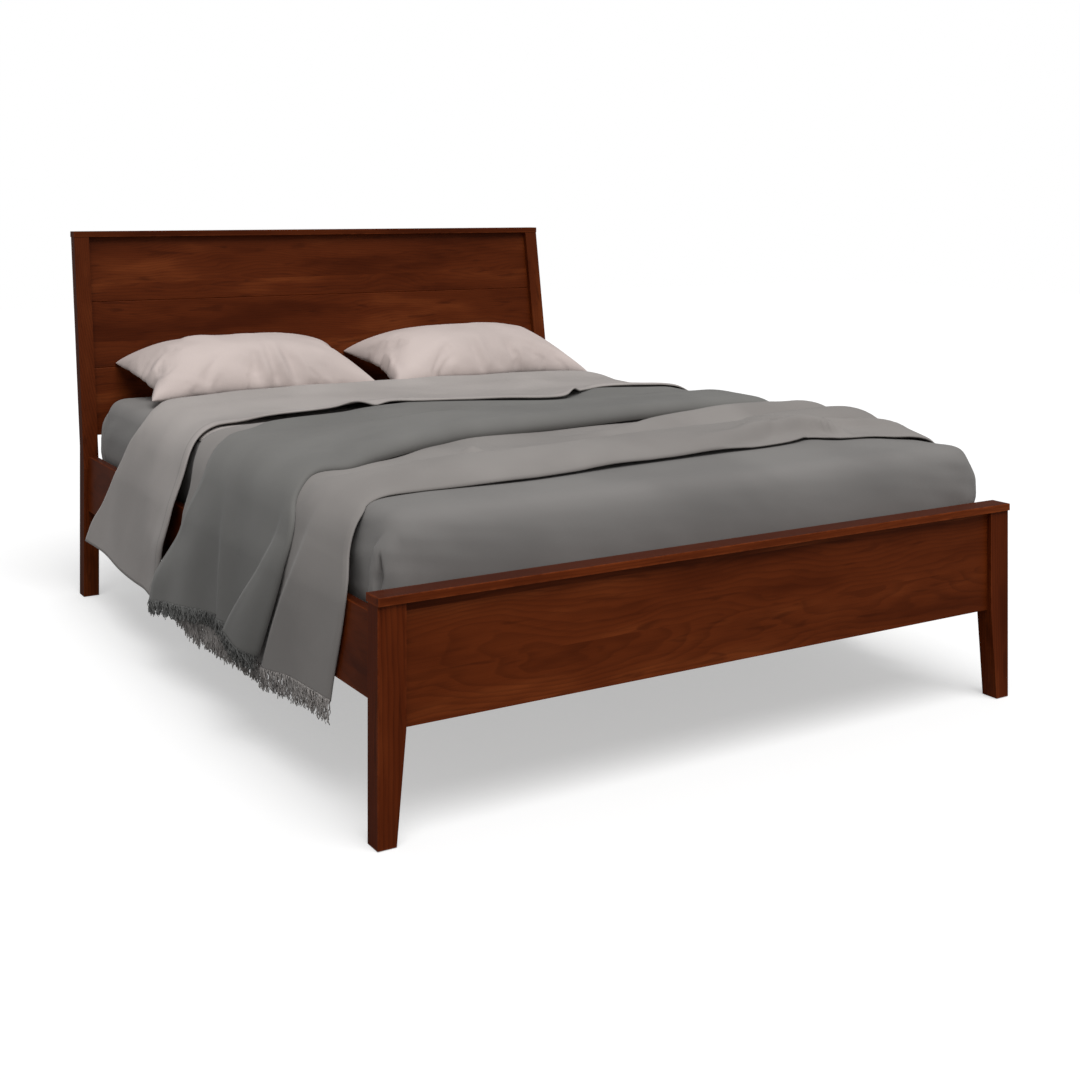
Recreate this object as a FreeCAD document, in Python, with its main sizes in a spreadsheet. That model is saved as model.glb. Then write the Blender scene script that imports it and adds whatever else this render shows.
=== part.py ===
import FreeCAD, Part
import Sketcher
import functools
import math
import os
import re

# Panel bed, queen size, made of solid hardwood with a set of bedding.
# Millimetres, +Z up. The head is at +Y, the foot at -Y and the left side at -X.
# The origin is on the floor under the middle of the whole bed.

doc = FreeCAD.newDocument("panel_bed")
sheet = doc.addObject("Spreadsheet::Sheet", "dims")

DRIVING = (
    # frame layout
    ("glide_stand", 1.5, "height of the post ends over the floor"),
    # foot end
    ("foot_post_width", 57, "foot post width beside the panel"),
    ("foot_post_toe_width", 38, "foot post width at the floor"),
    ("foot_post_depth", 44, "foot post depth, front to back"),
    ("foot_cap_top", 458, "height of the top of the foot cap"),
    ("foot_cap_thickness", 16, "foot cap thickness"),
    ("foot_cap_depth", 54, "foot cap, front to back"),
    ("foot_cap_overhang", 5, "foot cap in front of the foot posts"),
    ("foot_panel_bottom", 211, "height of the lower edge of the foot panel"),
    ("foot_panel_recess", 12, "foot panel behind the front of its posts"),
    ("foot_panel_thickness", 21, "foot panel thickness"),
    ("foot_housing_depth", 10, "how far the foot panel is let into a post"),
    # head end
    ("head_post_width", 44, "head post width"),
    ("head_leg_depth", 50, "head post depth below the bend"),
    ("head_upper_depth", 39, "head post depth above the bend, level"),
    ("head_bend_height", 380, "height where the head post starts to lean"),
    ("head_setback", 120, "how far back the top of the head post lies"),
    ("head_cap_top", 1084, "height of the top of the head cap"),
    ("head_cap_thickness", 17, "head cap thickness"),
    ("head_cap_depth", 44, "head cap, front to back"),
    ("head_cap_overhang", 1, "head cap in front of the head posts"),
    ("cap_side_overhang", 1, "both caps past the outer post faces"),
    ("cap_edge_radius", 1.5, "eased upper edges of both caps"),
    ("plank_bottom", 474, "height of the lower edge of the head planks"),
    ("plank_recess", 16, "head planks behind the front of their posts"),
    ("plank_thickness", 18, "head plank thickness, level"),
    ("plank_bevel", 2, "bevel of the meeting front edges of the planks"),
    ("plank_housing_depth", 12, "how far a plank is let into a post"),
    ("tongue_height", 6, "tongue on the upper edge of a plank"),
    ("tongue_thickness", 6, "tongue thickness"),
    ("joint_clearance", 0.3, "room round tongues, ends and let-in plates"),
    ("stretcher_bottom", 222, "height of the lower edge of the stretcher"),
    ("stretcher_height", 150, "stretcher between the head posts"),
    ("stretcher_thickness", 21, "stretcher thickness"),
    ("stretcher_recess", 12, "stretcher behind the front of its posts"),
    ("stretcher_housing_depth", 12, "how far the stretcher is let into a post"),
    # rails, cleats and slats
    ("rail_bottom", 255, "height of the lower edge of the side rails"),
    ("rail_height", 162, "side rail height"),
    ("rail_thickness", 21, "side rail thickness"),
    ("rail_recess", 14, "side rail inside the outer face of its posts"),
    ("rail_edge_radius", 2, "eased upper edges of the side rails"),
    ("cleat_width", 22, "slat cleat width"),
    ("cleat_height", 38, "slat cleat height"),
    ("cleat_end_gap", 20, "slat cleat end to the post"),
    ("slat_top", 335, "height of the top of the slats"),
    ("slat_thickness", 19, "slat thickness"),
    ("slat_width", 70, "slat width"),
    ("slat_side_gap", 2, "slat end to the side rail"),
    ("slat_end_margin", 45, "post to the nearest slat"),
    ("slat_count", 12, "number of slats"),
    # centre support
    ("beam_width", 38, "centre beam width"),
    ("beam_height", 89, "centre beam height"),
    ("beam_end_gap", 0.5, "centre beam end to its bracket"),
    ("beam_side_gap", 0.5, "centre beam side to the bracket cheek"),
    ("bracket_metal", 2.5, "sheet metal of the beam brackets"),
    ("bracket_flange", 24, "bracket back plate beside the cheek"),
    ("bracket_height", 75, "bracket back plate height"),
    ("bracket_seat_length", 32, "bracket seat under the beam end"),
    ("bracket_cheek_height", 42, "bracket cheek beside the beam"),
    ("bracket_screw_edge", 16, "bracket screws from the plate's ends"),
    ("leg_size", 50, "centre leg, square"),
    ("leg_ground_gap", 26, "centre leg end over the floor"),
    ("leg_spacing", 700, "centre leg to centre leg"),
    ("leg_bore_length", 48, "bore in the centre leg for the stem"),
    ("insert_diameter", 12, "threaded insert, outside"),
    ("insert_length", 18, "threaded insert length"),
    ("thread_diameter", 8, "levelling stem and hanger bolt"),
    ("thread_clearance", 0.3, "room round the stem and the bolt"),
    ("bolt_in_leg", 32, "hanger bolt length inside the leg"),
    ("bolt_in_beam", 34, "hanger bolt length inside the beam"),
    ("stem_length", 48, "levelling stem length"),
    ("stem_seat", 4, "levelling stem inside its pad"),
    ("pad_diameter", 36, "levelling pad diameter"),
    ("pad_height", 8, "levelling pad height"),
    # hardware
    ("plate_width", 15, "rail fitting plates, width"),
    ("plate_height", 140, "rail fitting plates, height"),
    ("plate_thickness", 2.5, "rail fitting plates, thickness"),
    ("plate_screw_edge", 9, "plate screws from the plate's ends"),
    ("hook_spacing", 60, "hook to hook on a plate"),
    ("hook_metal", 3, "hook thickness"),
    ("hook_root", 12, "hook height at the plate"),
    ("hook_drop", 12, "how far a hook reaches down behind the slot"),
    ("hook_lip", 4, "hook lip behind the catch plate"),
    ("hook_clearance", 0.5, "room round the hooks"),
    ("screw_diameter", 4.5, "wood screw shank"),
    ("screw_length", 38, "wood screw length with its head"),
    ("screw_head_diameter", 9, "wood screw head"),
    ("screw_head_height", 2.5, "wood screw head height"),
    ("plate_screw_diameter", 4, "plate screw shank"),
    ("plate_screw_length", 19, "plate screw length with its head"),
    ("plate_screw_head_diameter", 7.5, "plate screw head"),
    ("plate_screw_head_height", 2, "plate screw head height"),
    ("screw_clearance", 0.2, "room round the screws"),
    ("dowel_diameter", 8, "cap dowel"),
    ("dowel_in_cap", 10, "cap dowel inside the cap"),
    ("dowel_in_post", 20, "cap dowel inside the post or panel"),
    ("dowel_inset", 15, "post dowel from the outer post face"),
    ("dowel_spacing", 520, "dowel to dowel along a panel"),
    ("glide_diameter", 24, "post glide diameter"),
    ("glide_thickness", 5, "post glide thickness"),
    # mattress and pillows
    ("soft_gap", 0.3, "soft pieces from what they lie on"),
    ("mattress_width", 1524, "queen mattress width"),
    ("mattress_length", 2032, "queen mattress length"),
    ("mattress_height", 262, "mattress height at the crown"),
    ("mattress_corner", 70, "mattress corner radius in plan"),
    ("mattress_side_gap", 15, "mattress to a side rail"),
    ("mattress_foot_gap", 5, "mattress behind the foot cap"),
    ("mattress_head_gap", 3, "mattress to the front face of the head posts"),
    ("sheet_thickness", 1.2, "fitted sheet thickness with its gathers"),
    ("pillow_side_gap", 16, "pillow end inside the mattress side"),
    ("pillow_depth", 430, "pillow depth, seam to seam"),
    ("pillow_rise", 112, "pillow over its seam"),
    ("pillow_drop", 46, "pillow under its seam"),
    ("pillow_draw", 16, "how far the long seams are drawn in"),
    ("pillow_seam", 3, "height of a pillow's seam"),
    ("pillow_tilt", 12, "pillow tilt against the headboard, degrees"),
    ("pillow_spacing", 22, "gap between the pillows"),
    ("pillow_back_gap", 0.5, "pillow to the headboard"),
    # throws and coverlet
    ("cloth_thickness", 4, "bedding cloth thickness as draped"),
    ("layer_gap", 0.6, "air between cloth layers"),
    ("cloth_bottom", 190, "height of the lower edges of the cloths"),
    ("knee_rise", 22, "cloth leaves the rail this far over it"),
    ("shoulder_drop", 78, "cloth shoulder below the top of the bed"),
    ("shoulder_reach", 22, "cloth shoulder beside the mattress"),
    ("corner_drop", 22, "middle of the cloth's bend below the top of the bed"),
    ("corner_reach", 4, "middle of the cloth's bend inside the mattress side"),
    ("corner_inset", 72, "end of the cloth's bend from the mattress side"),
    ("corner_sag", 4, "cloth at the end of its bend, below the top of the bed"),
    ("crown_rise", 2, "cloth over the middle of the bed"),
    ("fold_depth", 28, "how far a hanging fold stands out"),
    ("fold_pitch", 320, "hanging fold to hanging fold"),
    ("fold_lead", 55, "first hanging fold begins this far before the throw's front"),
    ("roll_height", 33, "highest of the long waves across the bed"),
    ("throw_front", 175, "light throw front edge from the foot posts, on top"),
    ("throw_reveal", 475, "light throw showing in front of the dark one"),
    ("throw_tuck", 40, "dark throw's head edge under the coverlet's hem"),
    ("throw_step", 60, "dark throw's head edge past the light one's"),
    ("throw_front_skew", 0.05, "slant of the light throw's front edge across the bed"),
    ("dark_front_skew", 0.21, "slant of the dark throw's front edge across the bed"),
    ("throw_front_sweep", 0.1, "slope of the throws' front edges where they hang"),
    ("throw_head_sweep", 0.3, "slope of the throws' head edge where it hangs"),
    ("smooth_end", 160, "throws without folds near their head edge"),
    ("coverlet_head", 358, "coverlet fold from the head posts, on top"),
    ("coverlet_turn", 487, "coverlet fold to its hem, on top"),
    ("coverlet_hem_sweep", 0.3, "slope of the hem where it hangs"),
    ("coverlet_head_sweep", 0.66, "slope of the head edge where it hangs"),
    ("coverlet_flat", 160, "coverlet without folds over the dark throw"),
)

DERIVED = (
    ("post_span", "mattress_width + 2 * (mattress_side_gap + rail_thickness + rail_recess)",
     "across the posts, outer face to outer face"),
    ("mattress_inset", "foot_cap_depth - foot_cap_overhang - foot_post_depth"
     " + mattress_foot_gap", "foot post back face to the mattress"),
    ("inner_length", "mattress_inset + mattress_length + mattress_head_gap",
     "foot post back face to head post front face"),
    ("frame_length", "foot_cap_overhang + foot_post_depth + inner_length + head_setback"
     " - head_cap_overhang + head_cap_depth", "overall length of the frame"),
    ("foot_face", "foot_cap_overhang - frame_length / 2", "front of the foot posts"),
    ("foot_back", "foot_face + foot_post_depth", "back of the foot posts"),
    ("head_face", "foot_back + inner_length", "front of the head posts"),
    ("foot_post_top", "foot_cap_top - foot_cap_thickness", "underside of the foot cap"),
    ("head_post_top", "head_cap_top - head_cap_thickness", "underside of the head cap"),
    ("lean", "head_setback / (head_post_top - head_bend_height)", "slope of the headboard"),
    ("head_back_bend", "head_bend_height + (head_leg_depth - head_upper_depth) / lean",
     "height of the bend at the back of a head post"),
    ("plank_height", "(head_post_top - plank_bottom) / 3", "height of one head plank"),
    ("tongue_start", "(plank_thickness - tongue_thickness) / 2", "tongue from the plank front"),
    ("rail_outside", "post_span / 2 - rail_recess", "outer face of a side rail"),
    ("rail_inside", "rail_outside - rail_thickness", "inner face of a side rail"),
    ("rail_middle", "rail_recess + rail_thickness / 2", "rail centre from the outer post face"),
    ("cleat_top", "slat_top - slat_thickness", "underside of the slats"),
    ("slat_pitch", "(inner_length - 2 * slat_end_margin - slat_width) / (slat_count - 1)",
     "slat to slat"),
    ("cleat_length", "inner_length - 2 * cleat_end_gap", "slat cleat length"),
    ("beam_bottom", "cleat_top - beam_height", "underside of the centre beam"),
    ("panel_back", "foot_face + foot_panel_recess + foot_panel_thickness",
     "back of the foot panel"),
    ("stretcher_front", "head_face + stretcher_recess", "front of the stretcher"),
    ("beam_start", "panel_back + bracket_metal + beam_end_gap", "foot end of the centre beam"),
    ("beam_end", "stretcher_front - bracket_metal - beam_end_gap", "head end of the beam"),
    ("bracket_half", "beam_width / 2 + beam_side_gap + bracket_metal",
     "bracket centre to the outside of a cheek"),
    ("bracket_base", "beam_bottom - bracket_metal", "underside of a beam bracket"),
    ("plate_bottom", "rail_bottom + (rail_height - plate_height) / 2",
     "lower end of a rail fitting plate"),
    ("hook_reach", "plate_thickness + hook_clearance", "hook lip from its own plate"),
    ("mattress_start", "foot_back + mattress_inset", "foot end of the mattress"),
    ("mattress_base", "slat_top + soft_gap", "underside of the mattress"),
    ("bed_top", "mattress_base + mattress_height + soft_gap + sheet_thickness",
     "top of the made bed under its cloths"),
    ("cloth_step", "cloth_thickness + layer_gap", "cloth layer to cloth layer"),
    ("throw_start", "foot_back + throw_front", "front edge of the light throw"),
    ("coverlet_fold", "head_face - coverlet_head", "head edge of the coverlet"),
    ("coverlet_hem", "coverlet_fold - coverlet_turn", "hem of the turned down coverlet"),
    ("throw_end", "coverlet_hem + throw_tuck", "head edge of the dark throw"),
    ("pillow_length", "(mattress_width - pillow_spacing) / 2 - pillow_side_gap",
     "pillow length, side to side"),
    ("pillow_chord", "pillow_depth / 2 - pillow_draw", "seam to middle where it is drawn in"),
    ("pillow_bow", "(pillow_chord * pillow_chord + pillow_drop * pillow_drop)"
     " / (2 * pillow_drop)", "radius of a pillow's underside"),
    ("pillow_seam_height", "bed_top + soft_gap + pillow_bow"
     " - (pillow_bow - pillow_drop) * cos(pillow_tilt * 1deg)",
     "height of the middle of a pillow's seam"),
)

for row, (alias, amount, note) in enumerate(DRIVING, start=1):
    sheet.set(f"A{row}", note)
    sheet.set(f"B{row}", str(amount))
    sheet.setAlias(f"B{row}", alias)
for row, (alias, formula, note) in enumerate(DERIVED, start=len(DRIVING) + 2):
    sheet.set(f"A{row}", note)
    sheet.set(f"B{row}", f"={formula}")
    sheet.setAlias(f"B{row}", alias)
doc.recompute()

SIDES = ("left", "right")
ENDS = ("foot", "head")
pieces = []


# --- helpers: formulas, sketches, features -----------------------------------

def bound(formula):
    """Formula in plain sheet names -> expression that reads the sheet."""
    return re.sub(r"[a-z][a-z_]+", r"dims.\g<0>", formula)


def finish(piece, label):
    """Name a sub-part and list it for export."""
    piece.Label = label
    pieces.append(piece)
    return piece


def move(piece, x, y, z):
    """Tie the piece's place to the sheet."""
    for axis, formula in zip("xyz", (x, y, z)):
        piece.setExpression(f"Placement.Base.{axis}", bound(formula))


def pin(sketch, element, vertex, spot, formulas):
    """Hold a sketch point at two formulas, measured from the sketch origin."""
    for kind, now, formula in zip(("DistanceX", "DistanceY"), spot, formulas):
        index = sketch.addConstraint(Sketcher.Constraint(kind, -1, 1, element, vertex, now))
        sketch.setExpression(f"Constraints[{index}]", bound(formula))


def add_polygon(sketch, corners):
    """Closed outline of straight lines through corners given as formulas."""
    first = len(sketch.Geometry)
    count = len(corners)
    turns = [2 * math.pi * (corner + 0.3) / count for corner in range(count)]
    spots = [FreeCAD.Vector(100 * math.cos(turn), 100 * math.sin(turn), 0) for turn in turns]
    for corner, spot in enumerate(spots):
        sketch.addGeometry(Part.LineSegment(spot, spots[(corner + 1) % count]))
    for corner in range(count):
        following = first + (corner + 1) % count
        sketch.addConstraint(
            Sketcher.Constraint("Coincident", first + corner, 2, following, 1))
    for corner, formulas in enumerate(corners):
        spot = spots[corner]
        pin(sketch, first + corner, 1, (spot.x, spot.y), formulas)


def add_circle(sketch, across, up, diameter):
    """Circle with its centre and diameter given as formulas."""
    centre = FreeCAD.Vector(10, 10, 0)
    circle = sketch.addGeometry(Part.Circle(centre, FreeCAD.Vector(0, 0, 1), 4))
    pin(sketch, circle, 3, (centre.x, centre.y), (across, up))
    index = sketch.addConstraint(Sketcher.Constraint("Diameter", circle, 8))
    sketch.setExpression(f"Constraints[{index}]", bound(diameter))


def rectangle(left, low, right, high):
    """Corners of a rectangle, as formulas."""
    return ((left, low), (right, low), (right, high), (left, high))


def new_sketch(body, name, role, height):
    """Sketch on one of the body's own origin planes, raised along its normal."""
    sketch = body.newObject("Sketcher::SketchObject", f"{body.Name}_{name}_sketch")
    plane = next(item for item in body.Origin.OriginFeatures if item.Role == role)
    sketch.AttachmentSupport = [(plane, "")]
    sketch.MapMode = "FlatFace"
    sketch.setExpression("AttachmentOffset.Base.z", bound(height))
    return sketch


def pad(body, role, corners, length, backwards=False):
    """Grow the body's first solid from an outline."""
    sketch = new_sketch(body, "outline", role, "0")
    add_polygon(sketch, corners)
    feature = body.newObject("PartDesign::Pad", f"{body.Name}_blank")
    feature.Profile = sketch
    feature.setExpression("Length", bound(length))
    feature.Reversed = backwards
    return feature


def cut(body, name, role, depth, outlines=(), circles=(), height="0", forwards=False):
    """Pocket into the body: against the plane's normal, or along it (forwards)."""
    sketch = new_sketch(body, name, role, height)
    for corners in outlines:
        add_polygon(sketch, corners)
    for circle in circles:
        add_circle(sketch, *circle)
    feature = body.newObject("PartDesign::Pocket", f"{body.Name}_{name}")
    feature.Profile = sketch
    feature.setExpression("Length", bound(depth))
    feature.Reversed = forwards
    return feature


def ease_top(body, radius):
    """Round the upper edges of a body."""
    doc.recompute()
    top = body.Shape.BoundBox.ZMax
    names = [
        f"Edge{number}" for number, edge in enumerate(body.Shape.Edges, start=1)
        if edge.BoundBox.ZMin > top - 0.001
    ]
    tip = body.Tip
    feature = body.newObject("PartDesign::Fillet", f"{body.Name}_eased")
    feature.Base = (tip, names)
    feature.setExpression("Radius", bound(radius))


def new_body(label):
    """PartDesign body that becomes a sub-part."""
    return finish(doc.addObject("PartDesign::Body", label), label)


def block(name, corner, lengths):
    """Box with its corner and side lengths given as formulas."""
    box = doc.addObject("Part::Box", name)
    for side, formula in zip(("Length", "Width", "Height"), lengths):
        box.setExpression(side, bound(formula))
    move(box, *corner)
    return box


def rod(name, foot, diameter, height):
    """Upright cylinder with the centre of its lower face given as formulas."""
    cylinder = doc.addObject("Part::Cylinder", name)
    cylinder.setExpression("Radius", bound(f"({diameter}) / 2"))
    cylinder.setExpression("Height", bound(height))
    move(cylinder, *foot)
    return cylinder


def tube(label, foot, outside, inside, height, from_top=None):
    """Cylinder with a bore: right through, or from_top deep from its upper face."""
    outer = rod(f"{label}_outside", foot, outside, height)
    x, y, z = foot
    depth = height if from_top is None else from_top
    inner = rod(f"{label}_bore", (x, y, f"{z} + ({height}) - ({depth})"), inside, depth)
    ring = doc.addObject("Part::Cut", label)
    ring.Base = outer
    ring.Tool = inner
    return ring


def across_post(side, width, offset):
    """Distance from a post's -X face of a point offset from its outer face."""
    return offset if side == "left" else f"{width} - ({offset})"


def screw_solid(shank, length, head, head_height, tip, direction):
    """Countersunk screw whose flat head lies length behind its tip."""
    start = tip - direction * length
    cone = Part.makeCone(head / 2, shank / 2, head_height, start, direction)
    body_start = start + direction * head_height
    stem = Part.makeCylinder(shank / 2, length - head_height, body_start, direction)
    return cone.fuse(stem).removeSplitter()


def group(label, solids):
    """One sub-part made of separate equal solids."""
    feature = doc.addObject("Part::Feature", label)
    feature.Shape = Part.makeCompound(solids)
    feature.Placement = FreeCAD.Placement()
    return finish(feature, label)


# --- rail fittings let into posts and rail ends --------------------------------

PLATE_FIT = "plate_width + 2 * joint_clearance"
SCREW_HOLE = "plate_screw_diameter + 2 * screw_clearance"
PLATE_SCREW_DEPTH = "plate_screw_length + 2 * screw_clearance"


def plate_screw_heights(base="plate_bottom"):
    """Heights of the two screws of a rail fitting plate."""
    return (f"{base} + plate_screw_edge", f"{base} + plate_height - plate_screw_edge")


def let_in_plate(body, middle, height, forwards, base="plate_bottom"):
    """Recess for a fitting plate with its two pilot holes, on an XZ face."""
    low = f"{base} - joint_clearance"
    high = f"{base} + plate_height + joint_clearance"
    half = f"({PLATE_FIT}) / 2"
    outline = rectangle(f"{middle} - {half}", low, f"{middle} + {half}", high)
    cut(body, "plate_recess", "XZ_Plane", "plate_thickness", (outline,), height=height,
        forwards=forwards)
    holes = [(middle, level, SCREW_HOLE) for level in plate_screw_heights(base)]
    cut(body, "plate_pilots", "XZ_Plane", PLATE_SCREW_DEPTH, circles=holes, height=height,
        forwards=forwards)


def hollow_for_hooks(body, middle, height, forwards):
    """Hollow in a post behind the catch plate, where the hooks hang."""
    half = "(hook_metal / 2 + hook_clearance)"
    centre = "plate_bottom + plate_height / 2"
    low = f"{centre} - hook_spacing / 2 - hook_root / 2 - hook_drop - hook_clearance"
    high = f"{centre} + hook_spacing / 2 + hook_root / 2 + hook_drop + hook_clearance"
    outline = rectangle(f"{middle} - {half}", low, f"{middle} + {half}", high)
    depth = "hook_reach + hook_lip + hook_clearance"
    cut(body, "hook_hollow", "XZ_Plane", depth, (outline,), height=height, forwards=forwards)


# --- posts -----------------------------------------------------------------------

def footboard_post(side):
    """Foot post: straight outside, inside tapered below the panel."""
    body = new_body(f"footboard_post_{side}")
    width = "foot_post_width"
    outer = across_post(side, width, "0")
    inner = across_post(side, width, width)
    toe = across_post(side, width, "foot_post_toe_width")
    pad(body, "XZ_Plane", (
        (outer, "glide_stand"),
        (toe, "glide_stand"),
        (inner, "foot_panel_bottom"),
        (inner, "foot_post_top"),
        (outer, "foot_post_top"),
    ), "foot_post_depth", backwards=True)
    housing = across_post(side, width, f"{width} - foot_housing_depth")
    slot = rectangle(housing, "foot_panel_recess", inner,
                     "foot_panel_recess + foot_panel_thickness")
    cut(body, "panel_housing", "XY_Plane", "foot_post_top - foot_panel_bottom", (slot,),
        height="foot_panel_bottom", forwards=True)
    rail = across_post(side, width, "rail_middle")
    let_in_plate(body, rail, "-foot_post_depth", forwards=True)
    hollow_for_hooks(body, rail, "-foot_post_depth", forwards=True)
    middle = "foot_post_depth / 2"
    dowel = (across_post(side, width, "dowel_inset"), middle, "dowel_diameter")
    cut(body, "dowel_hole", "XY_Plane", "dowel_in_post", circles=(dowel,),
        height="foot_post_top")
    glide = (across_post(side, width, "foot_post_toe_width / 2"), middle,
             "glide_diameter")
    cut(body, "glide_seat", "XY_Plane", "glide_thickness - glide_stand", circles=(glide,),
        height="glide_stand", forwards=True)
    left_face = "-post_span / 2" if side == "left" else "post_span / 2 - foot_post_width"
    move(body, left_face, "foot_face", "0")


def headboard_post(side):
    """Head post: upright leg that bends back above the rails."""
    body = new_body(f"headboard_post_{side}")
    width = "head_post_width"
    pad(body, "YZ_Plane", (
        ("0", "glide_stand"),
        ("head_leg_depth", "glide_stand"),
        ("head_leg_depth", "head_back_bend"),
        ("head_setback + head_upper_depth", "head_post_top"),
        ("head_setback", "head_post_top"),
        ("0", "head_bend_height"),
    ), width)
    groove_low = "plank_recess + lean * (plank_bottom - head_bend_height)"
    groove_high = "head_setback + plank_recess"
    groove = (
        (groove_low, "plank_bottom"),
        (f"{groove_low} + plank_thickness", "plank_bottom"),
        (f"{groove_high} + plank_thickness", "head_post_top"),
        (groove_high, "head_post_top"),
    )
    groove_face = f"{width} - plank_housing_depth" if side == "left" else "0"
    cut(body, "plank_housing", "YZ_Plane", "plank_housing_depth", (groove,),
        height=groove_face, forwards=True)
    mortise = rectangle("stretcher_recess", "stretcher_bottom",
                        "stretcher_recess + stretcher_thickness",
                        "stretcher_bottom + stretcher_height")
    mortise_face = f"{width} - stretcher_housing_depth" if side == "left" else "0"
    cut(body, "stretcher_housing", "YZ_Plane", "stretcher_housing_depth", (mortise,),
        height=mortise_face, forwards=True)
    rail = across_post(side, width, "rail_middle")
    let_in_plate(body, rail, "0", forwards=False)
    hollow_for_hooks(body, rail, "0", forwards=False)
    dowel = (across_post(side, width, "dowel_inset"),
             "head_setback + head_upper_depth / 2", "dowel_diameter")
    cut(body, "dowel_hole", "XY_Plane", "dowel_in_post", circles=(dowel,),
        height="head_post_top")
    glide = (f"{width} / 2", "head_leg_depth / 2", "glide_diameter")
    cut(body, "glide_seat", "XY_Plane", "glide_thickness - glide_stand", circles=(glide,),
        height="glide_stand", forwards=True)
    left_face = "-post_span / 2" if side == "left" else "post_span / 2 - head_post_width"
    move(body, left_face, "head_face", "0")


def post_glide(label, x, y):
    """Round glide let into the end of a post."""
    finish(rod(label, (x, y, "0"), "glide_diameter", "glide_thickness"), label)


for side in SIDES:
    footboard_post(side)
    headboard_post(side)
    sign = "-" if side == "left" else ""
    post_glide(f"post_glide_foot_{side}", f"{sign}(post_span / 2 - foot_post_toe_width / 2)",
               "foot_face + foot_post_depth / 2")
    post_glide(f"post_glide_head_{side}", f"{sign}(post_span / 2 - head_post_width / 2)",
               "head_face + head_leg_depth / 2")


# --- panels, planks, caps and stretcher --------------------------------------------

FOOT_PANEL_LENGTH = "(post_span - 2 * foot_post_width + 2 * foot_housing_depth" \
    " - 2 * joint_clearance)"
PLANK_LENGTH = "(post_span - 2 * head_post_width + 2 * plank_housing_depth" \
    " - 2 * joint_clearance)"
STRETCHER_LENGTH = "(post_span - 2 * head_post_width + 2 * stretcher_housing_depth" \
    " - 2 * joint_clearance)"
CAP_LENGTH = "(post_span + 2 * cap_side_overhang)"


def panel_dowels(length, depth):
    """Three dowel holes along the upper edge of a panel."""
    places = (f"{length} / 2 - dowel_spacing", f"{length} / 2", f"{length} / 2 + dowel_spacing")
    return [(place, depth, "dowel_diameter") for place in places]


def footboard_panel():
    """Foot panel, let into both foot posts."""
    body = new_body("footboard_panel")
    pad(body, "XZ_Plane", rectangle("0", "foot_panel_bottom", FOOT_PANEL_LENGTH,
                                    "foot_post_top"), "foot_panel_thickness", backwards=True)
    cut(body, "dowel_holes", "XY_Plane", "dowel_in_post", height="foot_post_top",
        circles=panel_dowels(FOOT_PANEL_LENGTH, "foot_panel_thickness / 2"))
    holes = bracket_screw_places(f"{FOOT_PANEL_LENGTH} / 2")
    cut(body, "bracket_pilots", "XZ_Plane", BRACKET_PILOT_DEPTH, circles=holes,
        height="-foot_panel_thickness", forwards=True)
    move(body, f"-{FOOT_PANEL_LENGTH} / 2", "foot_face + foot_panel_recess", "0")


def headboard_stretcher():
    """Lower cross rail of the headboard, which carries the centre beam."""
    body = new_body("headboard_stretcher")
    pad(body, "XZ_Plane", rectangle("0", "stretcher_bottom", STRETCHER_LENGTH,
                                    "stretcher_bottom + stretcher_height"),
        "stretcher_thickness", backwards=True)
    holes = bracket_screw_places(f"{STRETCHER_LENGTH} / 2")
    cut(body, "bracket_pilots", "XZ_Plane", BRACKET_PILOT_DEPTH, circles=holes)
    move(body, f"-{STRETCHER_LENGTH} / 2", "stretcher_front", "0")


def headboard_plank(name, number):
    """Leaning plank number 0, 1 or 2 from below, tongued into the next."""
    body = new_body(f"headboard_plank_{name}")
    low = f"plank_bottom + {number} * plank_height"
    high = f"{low} + plank_height"

    def corner(depth, height):
        slope = f"lean * ({height} - head_bend_height)"
        return (f"plank_recess + {depth} + {slope}", height)

    bevelled_low = number > 0
    bevelled_high = number < 2
    outline = []
    if bevelled_low:
        front = "tongue_start - joint_clearance"
        back = "tongue_start + tongue_thickness + joint_clearance"
        groove = f"{low} + tongue_height + joint_clearance"
        outline += [corner("0", f"{low} + plank_bevel"), corner("plank_bevel", low)]
        outline += [corner(front, low), corner(front, groove)]
        outline += [corner(back, groove), corner(back, low)]
    else:
        outline += [corner("0", low)]
    outline += [corner("plank_thickness", low), corner("plank_thickness", high)]
    if bevelled_high:
        back = "tongue_start + tongue_thickness"
        outline += [corner(back, high), corner(back, f"{high} + tongue_height")]
        outline += [corner("tongue_start", f"{high} + tongue_height")]
        outline += [corner("tongue_start", high)]
        outline += [corner("plank_bevel", high), corner("0", f"{high} - plank_bevel")]
    else:
        outline += [corner("0", high)]
    pad(body, "YZ_Plane", outline, PLANK_LENGTH)
    if not bevelled_high:
        depth = "head_setback + plank_recess + plank_thickness / 2"
        cut(body, "dowel_holes", "XY_Plane", "dowel_in_post", height="head_post_top",
            circles=panel_dowels(PLANK_LENGTH, depth))
    move(body, f"-{PLANK_LENGTH} / 2", "head_face", "0")


def cap(label, thickness, depth, base, front, post_dowel, panel_dowel):
    """Flat cap over two posts, with its dowel holes and eased upper edges."""
    body = new_body(label)
    pad(body, "XY_Plane", rectangle("0", "0", CAP_LENGTH, depth), thickness)
    inset = "cap_side_overhang + dowel_inset"
    holes = panel_dowels(CAP_LENGTH, panel_dowel)
    for place in (inset, f"{CAP_LENGTH} - ({inset})"):
        holes.append((place, post_dowel, "dowel_diameter"))
    cut(body, "dowel_holes", "XY_Plane", "dowel_in_cap", circles=holes, forwards=True)
    ease_top(body, "cap_edge_radius")
    move(body, f"-{CAP_LENGTH} / 2", front, base)


# --- centre beam, brackets and legs -------------------------------------------------

BRACKET_PILOT_DEPTH = "plate_screw_length + screw_clearance - bracket_metal"


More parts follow.
